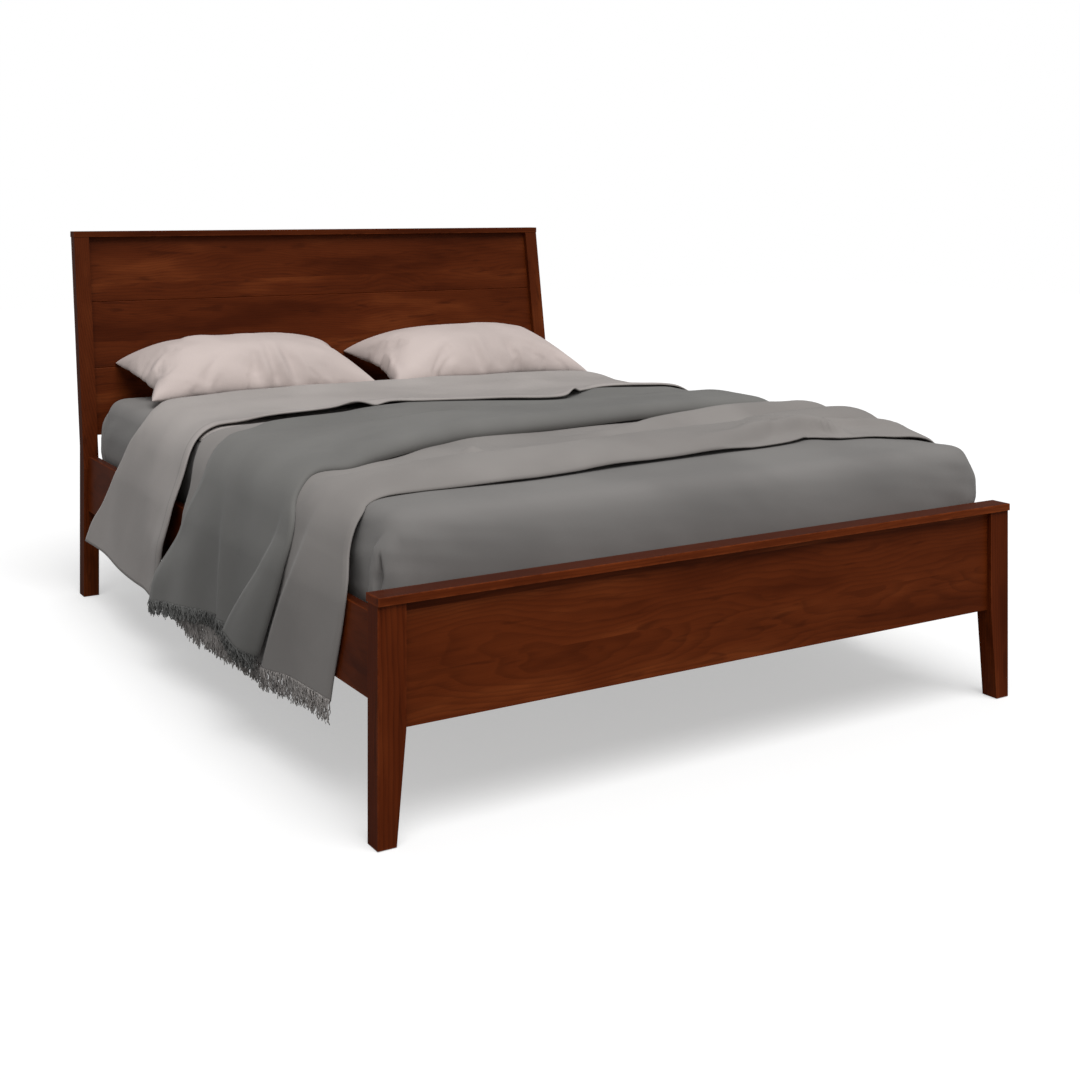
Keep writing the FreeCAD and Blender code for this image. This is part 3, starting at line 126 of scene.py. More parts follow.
def join(tree, x, y, z):
    """Vector from three numbers or sockets."""
    return add_node(tree, "ShaderNodeCombineXYZ", {0: x, 1: y, 2: z}).outputs[0]


def noise(tree, vector, scale=1.0, detail=2.0, stretch=None, output="Fac", **more):
    """Output of a Noise Texture; stretch multiplies the vector first."""
    if stretch:
        vector = vector_node(tree, "MULTIPLY", vector, stretch)
    return add_node(tree, "ShaderNodeTexNoise", {
        "Vector": vector, "Scale": scale, "Detail": detail, **more}).outputs[output]


def ramp(tree, factor, stops, smooth=False):
    """Colour ramp: stops are (position, colour)."""
    node = add_node(tree, "ShaderNodeValToRGB", {"Fac": factor})
    node.color_ramp.interpolation = "EASE" if smooth else "LINEAR"
    elements = node.color_ramp.elements
    while len(elements) < len(stops):
        elements.new(0.5)
    for element, (position, colour) in zip(elements, stops):
        element.position = position
        element.color = (*colour, 1)
    return node.outputs["Color"]


def mix_colour(tree, factor, first, second):
    """Output of a colour Mix node; colours are sockets or rgb."""
    first, second = ((*colour, 1) if isinstance(colour, tuple) else colour
                     for colour in (first, second))
    return add_node(tree, "ShaderNodeMix", {0: factor, 6: first, 7: second},
                    data_type="RGBA").outputs[2]


def shade(colour, factor):
    """The colour times a number."""
    return tuple(factor * part for part in colour)

# %% Groups and materials
def new_group(name, inputs, outputs):
    """Node group with named float or vector sockets; returns (tree, in, out)."""
    tree = bpy.data.node_groups.new(name, "ShaderNodeTree")
    for socket, (kind, default) in inputs.items():
        item = tree.interface.new_socket(socket, in_out="INPUT", socket_type=kind)
        if default is not None:
            item.default_value = default
    for socket in outputs:
        tree.interface.new_socket(socket, in_out="OUTPUT", socket_type=FLOAT)
    entry = tree.nodes.new("NodeGroupInput")
    leave = tree.nodes.new("NodeGroupOutput")
    return tree, entry.outputs, leave.inputs


def use_group(tree, group, values):
    """Place a node group with its own values; returns its outputs."""
    return add_node(tree, "ShaderNodeGroup", values, node_tree=group).outputs


def give_out(tree, give, results):
    """Link results to the group's outputs by name."""
    for name, socket in results.items():
        tree.links.new(socket, give[name])


def new_material(name):
    """Empty material with a Principled shader; returns (material, tree, shader)."""
    material = bpy.data.materials.new(name)
    material.use_nodes = True
    tree = material.node_tree
    tree.nodes.clear()
    shader = tree.nodes.new("ShaderNodeBsdfPrincipled")
    output = tree.nodes.new("ShaderNodeOutputMaterial")
    tree.links.new(shader.outputs[0], output.inputs["Surface"])
    return material, tree, shader


def finish_shader(tree, shader, colour, roughness, relief, strength, distance, **values):
    """Feed colour, roughness and a relief whose distance is in metres; set plain values."""
    tree.links.new(colour, shader.inputs["Base Color"])
    tree.links.new(roughness, shader.inputs["Roughness"])
    node = add_node(tree, "ShaderNodeBump",
                    {"Strength": strength, "Distance": distance, "Height": relief})
    tree.links.new(node.outputs["Normal"], shader.inputs["Normal"])
    for name, value in values.items():
        shader.inputs[name.replace("_", " ")].default_value = value


FLOAT, VECTOR = "NodeSocketFloat", "NodeSocketVector"

# %% [markdown]
# ## Stained cherry
# The frame is cherry under a dark reddish-brown stain and a satin lacquer. Wood grain is a
# tree's growth rings cut by the face of a board: straight lines where the board follows the
# trunk, arches and ovals where the trunk's middle wanders through the face. So the pattern
# is built as rings round a wandering axis, not as stripes. Each board gets its own place in
# the tree through a Mapping node, and wide panels are glued from narrower staves that each
# take another place and tone.

# %% Wood figure as a node group
def build_wood_figure():
    """Rings round an axis along X that wanders with noise; staves shift tone and place."""
    group, take, give = new_group("wood_figure", {
        "Vector": (VECTOR, None), "Ring Width": (FLOAT, 0.006), "Wander": (FLOAT, 0.03),
        "Stave Width": (FLOAT, 10.0),
    }, ("Rings", "Pores", "Clouds", "Flecks", "Stave"))
    calc, vector = partial(math_node, group), partial(vector_node, group)
    x, y, z = split(group, take["Vector"])
    stave = calc("FLOOR", calc("DIVIDE", z, take["Stave Width"]))
    stave = add_node(group, "ShaderNodeTexWhiteNoise", {"W": stave},
                     noise_dimensions="1D").outputs["Value"]
    place = join(group, calc("MULTIPLY_ADD", stave, 3.0, x), y, z)

    drift = noise(group, place, 1.6, 3.0, (1.1, 3.0, 3.0), "Color", Roughness=0.45)
    wander = vector("MULTIPLY", vector("SUBTRACT", drift, (0.5, 0.5, 0.5)),
                    join(group, 0.0, take["Wander"], take["Wander"]))
    across = vector("MULTIPLY", place, (0.0, 1.0, 1.0))
    radius = vector("LENGTH", vector("ADD", across, wander), output="Value")
    ripple = noise(group, place, stretch=(6.0, 40.0, 40.0))
    saw = calc("FRACT", calc("MULTIPLY_ADD", ripple, 0.9,
                             calc("DIVIDE", radius, take["Ring Width"])))
    flecks = noise(group, place, detail=1.5, stretch=(9.0, 62.0, 62.0), Distortion=0.5)
    give_out(group, give, {
        "Rings": calc("MULTIPLY", calc("POWER", saw, 2.4),
                      calc("SUBTRACT", 1.0, calc("POWER", saw, 14.0))),
        "Pores": noise(group, place, stretch=(14.0, 900.0, 900.0)),
        "Clouds": noise(group, place, detail=3.0, stretch=(2.2, 11.0, 11.0),
                        Roughness=0.55),
        "Flecks": calc("MULTIPLY", calc("SUBTRACT", flecks, 0.62), 9.0, clamp=True),
        "Stave": stave})
    return group


def build_edge_wear():
    """Mask of a box's edges: where the second smallest distance to a face pair is small.

    With a, b, c the distances to the nearer face along X, Y and Z, the second smallest is
    max(min(a, b), min(max(a, b), c)). Noise breaks the line up, as real wear does.
    """
    group, take, give = new_group("edge_wear", {
        "Vector": (VECTOR, None), "Low": (VECTOR, None), "High": (VECTOR, None),
        "Width": (FLOAT, 0.004)}, ("Wear",))
    calc, vector = partial(math_node, group), partial(vector_node, group)
    a, b, c = split(group, vector("MINIMUM", vector("SUBTRACT", take["Vector"], take["Low"]),
                                  vector("SUBTRACT", take["High"], take["Vector"])))
    second = calc("MAXIMUM", calc("MINIMUM", a, b), calc("MINIMUM", calc("MAXIMUM", a, b), c))
    edge = calc("SUBTRACT", 1.0, calc("DIVIDE", second, take["Width"]), clamp=True)
    patches = noise(group, take["Vector"], 34.0, 4.0, Roughness=0.6)
    worn = calc("MULTIPLY", calc("SUBTRACT", patches, 0.34), 2.6, clamp=True)
    give_out(group, give, {"Wear": calc("MULTIPLY", edge, worn)})
    return group


WOOD_FIGURE = build_wood_figure()
EDGE_WEAR = build_edge_wear()

# %% Stained wood materials
GRAIN_TURNS = {"X": (0, 0, 0), "Y": (0, 0, -math.pi / 2), "Z": (0, math.pi / 2, 0)}
WEAR_WIDTH = 0.0045
SKIN = 0.0006    # depth below a board's top that still counts as its upper face


def wood_material(name, colours, grain="X", place=(0, 0, 0), ring_width=0.0065,
                  wander=0.05, tilt=0.0, stave=10.0, stave_tone=0.0, gloss=0.36,
                  ring_depth=0.36, board=None, painted_shade_top=0.0):
    """Wood with its grain along an axis; colours are dark line, middle, light, cloud.

    Board is the piece's box (low, high) where its edges are worn a little lighter. With the
    last argument above 0, that share of the upper face's colour goes over to the dark line's
    colour: painted shade that keeps the top darker than the light leaves it.
    """
    material, tree, shader = new_material(name)
    calc = partial(math_node, tree)
    coordinates = add_node(tree, "ShaderNodeTexCoord").outputs["Object"]
    turned = add_node(tree, "ShaderNodeMapping", {
        "Vector": coordinates, "Rotation": GRAIN_TURNS[grain]}).outputs[0]
    placed = add_node(tree, "ShaderNodeMapping", {
        "Vector": turned, "Location": place, "Rotation": (0, tilt, tilt * 0.7)}).outputs[0]
    figure = use_group(tree, WOOD_FIGURE, {
        "Vector": placed, "Ring Width": ring_width, "Wander": wander,
        "Stave Width": stave})
    line, middle, light, cloud = colours
    colour = ramp(tree, figure["Clouds"], ((0.30, middle), (0.52, light), (0.75, cloud)),
                  True)
    coarse_pores = calc("GREATER_THAN", figure["Pores"], 0.60)
    for mask, share, other in ((figure["Rings"], ring_depth, line),
                               (figure["Flecks"], 0.42, line), (coarse_pores, 0.22, line),
                               (figure["Stave"], stave_tone, shade(light, 1.7))):
        colour = mix_colour(tree, calc("MULTIPLY", mask, share), colour, other)
    roughness = calc("MULTIPLY_ADD", figure["Clouds"], 0.16, gloss - 0.06)
    # painted shade: the upper face goes over to the dark line's colour
    if painted_shade_top:
        upper = calc("GREATER_THAN", split(tree, coordinates)[2], board[1][2] - SKIN)
        colour = mix_colour(tree, calc("MULTIPLY", upper, painted_shade_top), colour, line)
    if board:
        wear = use_group(tree, EDGE_WEAR, {"Vector": coordinates, "Low": board[0],
                                           "High": board[1], "Width": WEAR_WIDTH})["Wear"]
        colour = mix_colour(tree, calc("MULTIPLY", wear, 0.30), colour, shade(cloud, 1.9))
        roughness = calc("MULTIPLY_ADD", wear, 0.15, roughness)
    finish_shader(tree, shader, colour, roughness, figure["Pores"], 0.10, 0.0004,
                  Specular_IOR_Level=0.10)
    return material


CHERRY = ((0.038, 0.0062, 0.0012), (0.086, 0.0145, 0.0026),
          (0.136, 0.0250, 0.0046), (0.222, 0.0480, 0.0100))
PLAIN_WOOD = ((0.36, 0.23, 0.12), (0.55, 0.39, 0.23), (0.62, 0.46, 0.29),
              (0.68, 0.53, 0.36))
# boards of one bed never match quite: how the headboard and foot posts differ from the
# stain's colour; the footboard cap's lighter colour is painted light on its front face
CAP_LIT_TONE, HEADBOARD_TONE, FOOT_POST_TONE = (1.22,) * 3, (0.78,) * 3, (0.90, 0.82, 0.76)

# %% [markdown]
# ## Finishes for the frame's pieces
# Every board is its own cut of wood, so every node gets its own material: grain along its
# length, and a place in the tree of its own. Caps, rails and the headboard's stretcher get
# painted shade on their upper face: its colour goes most of the way to the dark line's.

# %% Dress the wooden nodes
# grain, place in the tree, ring width, wander, tilt
BOARDS = {
    "headboard_plank_upper": ("X", (0.3, -1.10, -0.93), 0.0075, 0.14, 0.010),
    "headboard_plank_middle": ("X", (1.9, -1.03, -0.74), 0.0080, 0.14, -0.012),
    "headboard_plank_lower": ("X", (4.1, -1.00, -0.60), 0.0075, 0.12, 0.008),
    "headboard_stretcher": ("X", (2.2, -0.93, -0.30), 0.007, 0.06, 0.005),
    "footboard_cap": ("X", (5.3, 1.14, -0.42), 0.006, 0.05, 0.006),
    "headboard_cap": ("X", (7.7, -1.06, -1.02), 0.006, 0.05, 0.006),
    "side_rail_left": ("Y", (3.1, 0.70, -0.30), 0.007, 0.06, 0.006),
    "side_rail_right": ("Y", (6.4, -0.88, -0.33), 0.007, 0.06, 0.006),
    "footboard_post_left": ("Z", (0.8, 1.01, -0.71), 0.0055, 0.02, 0.010),
    "footboard_post_right": ("Z", (2.6, 1.04, 0.70), 0.0055, 0.02, 0.010),
    "headboard_post_left": ("Z", (5.8, -1.10, -0.70), 0.0055, 0.02, 0.004),
    "headboard_post_right": ("Z", (9.1, -1.09, 0.71), 0.0055, 0.02, 0.004),
}


def dress(node, material):
    """Give a construction node a finish."""
    mesh = NODES[node].data
    mesh.materials.clear()
    mesh.materials.append(material)


def board_tone(node):
    """Share of red, green and blue that a board keeps of the stain's colour."""
    if node == "footboard_cap":
        # painted light: a lighter cherry for the cap stands in for the light on its front
        # face
        return CAP_LIT_TONE
    if node.startswith("headboard"):
        return HEADBOARD_TONE
    return FOOT_POST_TONE if node.startswith("footboard_post") else (1, 1, 1)


def dress_wood():
    """Stained cherry on the show wood and plain hardwood on the supports."""
    for node, (grain, place, ring, wander, tilt) in BOARDS.items():
        colours = [tuple(a * b for a, b in zip(colour, board_tone(node)))
                   for colour in CHERRY]
        # caps, rails and the stretcher get painted shade on their upper face
        dress(node, wood_material(
            f"cherry_{node}", colours, grain, place, ring, wander, tilt,
            ring_depth=0.55 if grain == "Z" else 0.36, board=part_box(node),
            painted_shade_top=0.0 if "_post" in node or "_plank" in node else 0.72))
    dress("footboard_panel", wood_material(
        "cherry_footboard_panel", CHERRY, "X", (0.9, 1.155, -0.31), 0.0105, 0.15, 0.006,
        stave=0.118, stave_tone=0.16, ring_depth=0.46))
    supports = sorted(name for name in NODES if name.startswith(
        ("slat_", "centre_beam", "centre_leg")))
    for number, node in enumerate(supports):
        grain = "X" if node.startswith("slat_") and "cleat" not in node else "Y"
        if node.startswith("centre_leg"):
            grain = "Z"
        dress(node, wood_material(f"plain_{node}", PLAIN_WOOD, grain,
                                  (1.37 * number, 0.9 + 0.11 * number, -0.4),
                                  0.005, 0.04, gloss=0.55))
    dress("cap_dowels", wood_material("beech_dowels", PLAIN_WOOD, "Z", gloss=0.6))
    return len(BOARDS) + len(supports) + 2


print(dress_wood(), "wooden nodes dressed")

# %% [markdown]
# ## Hardware
# Screws and plates are zinc-plated steel: a pale grey metal with faint drawing marks and
# duller patches. The inserts are brass, and the glides under posts and legs are dark plastic
# with a fine moulded texture.

# %% Dress the hardware
def metal_material(name, colour, roughness):
    """Plated metal: patchy roughness and fine drawing marks."""
    material, tree, shader = new_material(name)
    coordinates = add_node(tree, "ShaderNodeTexCoord").outputs["Object"]
    patches = noise(tree, coordinates, 55.0, 4.0)
    finish_shader(tree, shader, ramp(tree, patches, ((0.3, shade(colour, 0.8)),
                                                     (0.7, colour))),
                  math_node(tree, "MULTIPLY_ADD", patches, 0.22, roughness - 0.1),
                  noise(tree, coordinates, stretch=(900.0, 900.0, 60.0)), 0.12, 0.0002,
                  Metallic=1.0)
    return material


def plastic_material(name, colour):
    """Moulded plastic with a fine spark-eroded texture."""
    material, tree, shader = new_material(name)
    coordinates = add_node(tree, "ShaderNodeTexCoord").outputs["Object"]
    wear = noise(tree, coordinates, 70.0, 3.0)
    finish_shader(tree, shader, ramp(tree, wear, ((0.35, colour),
                                                  (0.75, shade(colour, 1.6)))),
                  math_node(tree, "MULTIPLY_ADD", wear, 0.2, 0.42),
                  noise(tree, coordinates, 1400.0), 0.15, 0.0002)
    return material


ZINC = metal_material("zinc_steel", (0.60, 0.60, 0.57), 0.38)
BRASS = metal_material("brass", (0.72, 0.53, 0.25), 0.34)
GLIDE_PLASTIC = plastic_material("glide_plastic", (0.035, 0.030, 0.026))
HARDWARE = {
    ("wood_screws", "plate_screws", "hook_plate", "catch_plate", "beam_bracket",
     "hanger_bolts", "levelling_stem"): ZINC,
    ("threaded_inserts",): BRASS,
    ("post_glide", "levelling_pad"): GLIDE_PLASTIC,
}
for starts, finish in HARDWARE.items():
    for node_name in NODES:
        if node_name.startswith(starts):
            dress(node_name, finish)

# %% [markdown]
# ## Cloth finishes
# All the bedding is plain woven cotton: a fine over-and-under weave that only shows close
# up, a soft sheen at grazing angles, faint creases from ironing and folding, and small
# changes of tone. One group gives the weave and the creases for every cloth.

# %% Weave and crease group
def build_cloth_surface():
    """Plain weave as crossed waves, slubs as stretched noise, creases as folded noise."""
    group, take, give = new_group("cloth_surface", {
        "Vector": (VECTOR, None), "Thread": (FLOAT, 0.0012),
    }, ("Weave", "Slubs", "Creases", "Tone"))
    calc = partial(math_node, group)
    vector = take["Vector"]
    turns = calc("DIVIDE", 2 * math.pi, take["Thread"])
    warp, weft = (calc("SINE", calc("MULTIPLY", axis, turns))
                  for axis in split(group, vector)[:2])
    slubs = [noise(group, vector, stretch=stretch)
             for stretch in ((25.0, 700.0, 25.0), (700.0, 25.0, 25.0))]
    folded = noise(group, vector, 9.0, 4.0, Roughness=0.5, Distortion=0.6)
    give_out(group, give, {
        "Weave": calc("MULTIPLY_ADD", calc("MULTIPLY", warp, weft), 0.5, 0.5),
        "Slubs": calc("MULTIPLY", *slubs),
        "Creases": calc("POWER", calc("ABSOLUTE", calc("SUBTRACT", folded, 0.5)), 0.6),
        "Tone": noise(group, vector, 2.6, 3.0)})
    return group


CLOTH_SURFACE = build_cloth_surface()

# %% Cloth materials
STITCH_LENGTH, STITCH_HALF_WIDTH = 0.006, 0.005


def cloth_material(name, colour, thread=0.0012, source="UV", sheen=0.15, crease=0.25,
                   contrast=0.10, stitch=None):
    """Woven cotton; source is UV for flat-cut cloth, Object for stuffed pieces.

    Stitch is the distance of a sewn line from the hem, which is where UV's V is 0.
    """
    material, tree, shader = new_material(name)
    calc = partial(math_node, tree)
    vector = add_node(tree, "ShaderNodeTexCoord").outputs[source]
    x, y, z = split(tree, vector)
    if source == "Object":
        vector = join(tree, calc("MULTIPLY_ADD", z, 0.7, x),
                      calc("MULTIPLY_ADD", z, 0.7, y), z)
    surface = use_group(tree, CLOTH_SURFACE, {"Vector": vector, "Thread": thread})
    dark, light = shade(colour, 1 - contrast), shade(colour, 1 + contrast)
    woven = ramp(tree, surface["Tone"], ((0.35, dark), (0.65, light)), True)
    woven = mix_colour(tree, calc("MULTIPLY", surface["Slubs"], 0.35), woven, dark)
    woven = mix_colour(tree, calc("MULTIPLY", surface["Weave"], 0.12), woven, light)
    relief = calc("MULTIPLY_ADD", surface["Creases"], crease,
                  calc("MULTIPLY", surface["Weave"], 0.04))
    if stitch:
        off = calc("ABSOLUTE", calc("SUBTRACT", y, stitch))
        band = calc("SUBTRACT", 1.0, calc("DIVIDE", off, STITCH_HALF_WIDTH), clamp=True)
        wave = calc("SINE", calc("MULTIPLY", x, 2 * math.pi / STITCH_LENGTH))
        sewn = calc("MULTIPLY", band, calc("MULTIPLY_ADD", wave, 0.25, 0.75))
        woven = mix_colour(tree, calc("MULTIPLY", sewn, 0.55), woven, shade(colour, 0.35))
        relief = calc("MULTIPLY_ADD", sewn, -0.30, relief)
    finish_shader(tree, shader, woven, calc("MULTIPLY_ADD", surface["Slubs"], 0.2, 0.78),
                  relief, 0.5, 0.004, Specular_IOR_Level=0.25, Sheen_Weight=sheen,
                  Sheen_Roughness=0.5)
    return material


SHEET_CLOTH = cloth_material("fitted_sheet_cotton", (0.212, 0.202, 0.194), source="Object",
                             crease=0.16)
PILLOW_CLOTH = cloth_material("pillowcase_cotton", (0.580, 0.494, 0.464), source="Object",
                              sheen=0.12, crease=0.35)
COVERLET_CLOTH = cloth_material("coverlet_cotton", (0.385, 0.353, 0.335), crease=0.12,
                                stitch=0.026)
DARK_THROW_CLOTH = cloth_material("dark_throw_twill", (0.178, 0.174, 0.165), 0.0018)
LIGHT_THROW_CLOTH = cloth_material("light_throw_twill", (0.272, 0.252, 0.239), 0.0018)
TICKING = cloth_material("mattress_ticking", (0.62, 0.61, 0.58), source="Object")
print(len(bpy.data.materials), "materials so far")

# %% [markdown]
# ## Surfaces from formulas
# Each soft piece is a grid of points worked out with numpy. The helpers turn such a grid
# into a mesh, give cloth its thickness and hide the construction piece it stands in for.
# The small functions after them are the ones all forms share: a smooth step, seeded
# ripples, and a smooth line through a few points.

# %% Grid of points to mesh
def mesh_object(name, points, faces, material):
    """Smooth-shaded mesh from points and faces."""
    mesh = bpy.data.meshes.new(name)
    mesh.from_pydata(points.reshape(-1, 3).tolist(), [], faces)
    mesh.polygons.foreach_set("use_smooth", np.ones(len(faces), dtype=bool))
    mesh.materials.append(material)
    return new_object(name, mesh)


def quads_of(index, closed=False):
    """Faces between neighbours along the first and last axis of an array of point numbers.

    A closed array joins the last point of its last axis to the first.
    """
    if closed:
        index = np.concatenate([index, index[..., :1]], axis=-1)
    return np.stack([index[:-1, ..., :-1], index[:-1, ..., 1:], index[1:, ..., 1:],
                     index[1:, ..., :-1]], axis=-1).reshape(-1, 4)


def grid_object(name, points, material, closed=False, uv=None):
    """Mesh of quads between neighbouring points of a (rows, columns, 3) grid.

    A closed grid joins its last column to its first. UVs are metres of cloth.
    """
    index = np.arange(points.size // 3).reshape(points.shape[:2])
    piece = mesh_object(name, points, quads_of(index, closed).tolist(), material)
    if uv is not None:
        mesh = piece.data
        layer = mesh.uv_layers.new(name="UVMap")
        corners = np.empty(len(mesh.loops), dtype=np.int32)
        mesh.loops.foreach_get("vertex_index", corners)
        layer.data.foreach_set("uv", uv.reshape(-1, 2)[corners].astype(np.float32).ravel())
    return piece


def thicken(piece, thickness, offset):
    """Give an open cloth its thickness; offset 1 adds it outside, -1 inside."""
    modifier = piece.modifiers.new("thickness", "SOLIDIFY")
    modifier.thickness = thickness
    modifier.offset = offset
    modifier.use_even_offset = False


def belongs(piece, node=None):
    """Hide the node a piece stands in for, and attach the piece to the body it rides."""
    if node:
        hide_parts(node)
    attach(piece, BODY)

# %% Shared formulas
def smooth_step(value, low, high):
    """0 below low, 1 above high, and a smooth S between."""
    share = np.clip((value - low) / (high - low), 0, 1)
    return share * share * (3 - 2 * share)


def falling_step(value, low, high):
    """1 below low and 0 above high."""
    return 1 - smooth_step(value, low, high)


def bell(distance, width):
    """Soft bump: exp(-(distance / width)^2)."""
    return np.exp(-(distance / width) ** 2)


def ripples(across, along, length, seed, count=7):
    """Seeded sum of sine waves in random directions, about -1 to 1, of that wavelength."""
    rng = np.random.default_rng(seed)
    total = np.zeros(np.broadcast(across, along).shape)
    for _ in range(count):
        turn, phase = rng.uniform(0, 2 * math.pi, 2)
        wave = 2 * math.pi / (length * rng.uniform(0.7, 1.5))
        total += np.sin(wave * (across * math.cos(turn) + along * math.sin(turn)) + phase)
    return total / math.sqrt(count)


def smooth_line(points, steps=30):
    """Catmull-Rom curve through the points: each span blends its four nearest points."""
    points = np.array(points, dtype=float)
    padded = np.vstack([2 * points[0] - points[1], points, 2 * points[-1] - points[-2]])
    share = np.linspace(0, 1, steps, endpoint=False)[None, :, None]
    a, b, c, d = (padded[k:len(points) - 1 + k, None, :] for k in range(4))
    spans = 0.5 * (2 * b + (c - a) * share + (2 * a - 5 * b + 4 * c - d) * share ** 2
                   + (3 * b - a - 3 * c + d) * share ** 3)
    return np.vstack([spans.reshape(-1, points.shape[1]), points[-1:]])


def line_length(line):
    """Distance along a line of points, from its start to each point."""
    return np.concatenate([[0], np.cumsum(np.hypot(*np.diff(line, axis=0).T))])

# %% [markdown]
# ## Mattress and fitted sheet
# The mattress is a foam and spring block with soft shoulders, so its form is a rounded
# rectangle that grows inwards towards the top. The fitted sheet is stretched over it and is
# what the eye sees: pulled tight on top, with tucks at the corners where the elastic
# gathers it. Both come from one formula, the sheet a few millimetres outside.

# %% Mattress form
SHEET_LOW, SHEET_HIGH = (np.array(corner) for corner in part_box("fitted_sheet"))
BED_MIDDLE = 0.5 * (SHEET_LOW + SHEET_HIGH)
BED_HALF = 0.5 * (SHEET_HIGH - SHEET_LOW)
CORNER_RADIUS, BLOCK_HEIGHT = 0.070, 0.26
SIDE_STEPS = 6    # points per span of the side form
EDGE_INSET = 0.055    # further in, a row is scaled instead of moved
# distance inside the widest outline, height over the slats
SIDE_FORM = smooth_line((
    (0.012, 0.000), (0.003, 0.012), (0.000, 0.040), (0.000, 0.100), (0.000, 0.160),
    (0.003, 0.200), (0.011, 0.228), (0.027, 0.246), (0.055, 0.2545), (0.110, 0.2585),
    (0.220, 0.2615), (0.420, 0.2630), (0.735, 0.2634)), SIDE_STEPS)
CROWN = SIDE_FORM[4 * SIDE_STEPS:]    # the part above the upright side


def round_outline(half_x, half_y, radius, spacing, bend_points):
    """Closed outline with straight sides and quarter-round corners, from -Y leftwards.

    Returns x, y, the outward normal, and the distance from the nearest corner's middle,
    which is negative on the long sides and positive on the foot and head.
    """
    parts = []
    half_bend = radius * math.pi / 4
    for quarter in range(4):
        ahead, side = (half_y, half_x) if quarter % 2 == 0 else (half_x, half_y)
        straight = np.linspace(-(side - radius), side - radius,
                               int(2 * side / spacing), endpoint=False)
        bend = np.linspace(0, math.pi / 2, bend_points, endpoint=False)
        along = np.concatenate([straight, side - radius + radius * np.sin(bend)])
        out = np.concatenate([np.full(len(straight), ahead),
                              ahead - radius + radius * np.cos(bend)])
        lean = np.concatenate([np.zeros(len(straight)), bend])
        corner = np.concatenate([half_bend + side - radius - np.abs(straight),
                                 half_bend - radius * bend])
        corner = corner * (1 if quarter % 2 == 0 else -1)
        # along runs to -X on the foot side, to +Y on the left side and so on
        heading = -math.pi / 2 - quarter * math.pi / 2
        cos, sin = math.cos(heading), math.sin(heading)
        parts.append(np.stack([out * cos + along * sin, out * sin - along * cos,
                               np.cos(lean) * cos + np.sin(lean) * sin,
                               np.cos(lean) * sin - np.sin(lean) * cos, corner]))
    return np.concatenate(parts, axis=1)


def mattress_points(shrink, spacing, bend_points, radius=CORNER_RADIUS):
    """Rows of the outline, moved inwards and upwards by the side form.

    Near the edge a row is the outline moved in; further in it is that row scaled down, so
    rows never cross in the corners.
    """
    x, y, normal_x, normal_y, corner = round_outline(
        BED_HALF[0] - shrink, BED_HALF[1] - shrink, radius, spacing, bend_points)
    inset, level = (SIDE_FORM[:, k][:, None] for k in (0, 1))
    edge = np.minimum(inset, EDGE_INSET)
    grown_x = (x - edge * normal_x) * (BED_HALF[0] - inset) / (BED_HALF[0] - edge)
    grown_y = (y - edge * normal_y) * (BED_HALF[1] - inset) / (BED_HALF[1] - edge)
    height = np.broadcast_to(level * (1 - shrink / BLOCK_HEIGHT), grown_x.shape)
    return grown_x, grown_y, height, inset, (normal_x, normal_y, corner)


def close_middle(points):
    """Rows that shrink the last row to its middle; the points there are welded later."""
    middle = points[-1].mean(0)
    shares = np.array([0.6, 0.25, 0.0])[:, None, None]
    return np.concatenate([points, middle + (points[-1] - middle) * shares])


def weld(piece):
    """Join points that lie on one another."""
    work = bmesh.new()
    work.from_mesh(piece.data)
    bmesh.ops.remove_doubles(work, verts=work.verts, dist=1e-6)
    work.to_mesh(piece.data)
    work.free()


def bump_at(x, y, middle, size):
    """Round swelling: exp(-(dx / size_x)^2 - (dy / size_y)^2)."""
    return np.exp(-((x - middle[0]) / size[0]) ** 2 - ((y - middle[1]) / size[1]) ** 2)


def swellings(x, y, table):
    """Sum of round swellings, from rows of (height, middle, size)."""
    return sum(height * bump_at(x, y, middle, size) for height, middle, size in table)

# %% Fitted sheet
TUCK_SHIFT = 0.029    # how far the tuck sits round the corner, on the foot side
FLAP_HEIGHT, LIP_HEIGHT, SLIT_DEPTH, DENT_DEPTH = .0074, .0052, .0130, .0020
GIRTH = 7.0    # metres of cloth round the bed, near enough for the weave
PULL_HEIGHT, HANG_HEIGHT, WAVE_HEIGHT = 0.0006, 0.0007, 0.0010
RAIL_SLACK, CORNER_SLACK = 0.007, 0.018    # how far the sheet stands off there
DEEPEST = -0.0026    # the sheet never sinks deeper, or the block would show


def corner_tuck(corner, height):
    """How far the folded corner of the sheet stands out, in metres.

    A flap lies over the foot side. Its edge runs up beside the corner and curves over;
    between flap and foot side is a slit that opens in the middle and closes at its top.
    """
    corner = corner + TUCK_SHIFT
    edge = np.interp(height, (0.06, 0.14, 0.19, 0.215), (-.024, -.020, -.014, .004))
    mouth = np.interp(height, (0.06, 0.10, 0.145, 0.19), (-.004, -.001, .004, .001))
    flap = smooth_step(corner, edge - .0035, edge + .001) * falling_step(
        corner, mouth + .012, mouth + .050) * falling_step(height, 0.18, 0.226)
    opening = .0028 + .0052 * bell(height - 0.132, 0.022)
    slit = np.exp(-((corner - mouth) / opening) ** 4) * falling_step(height, .155, .182)
    dents = swellings(corner, height, ((1.0, (.072, .08), (.010, .060)),
                                       (0.7, (.108, .07), (.013, .050))))
    lip = bump_at(corner, height, (.030, .11), (.034, .075))
    return (np.maximum(FLAP_HEIGHT * flap, LIP_HEIGHT * lip) - SLIT_DEPTH * slit
            - DENT_DEPTH * dents)


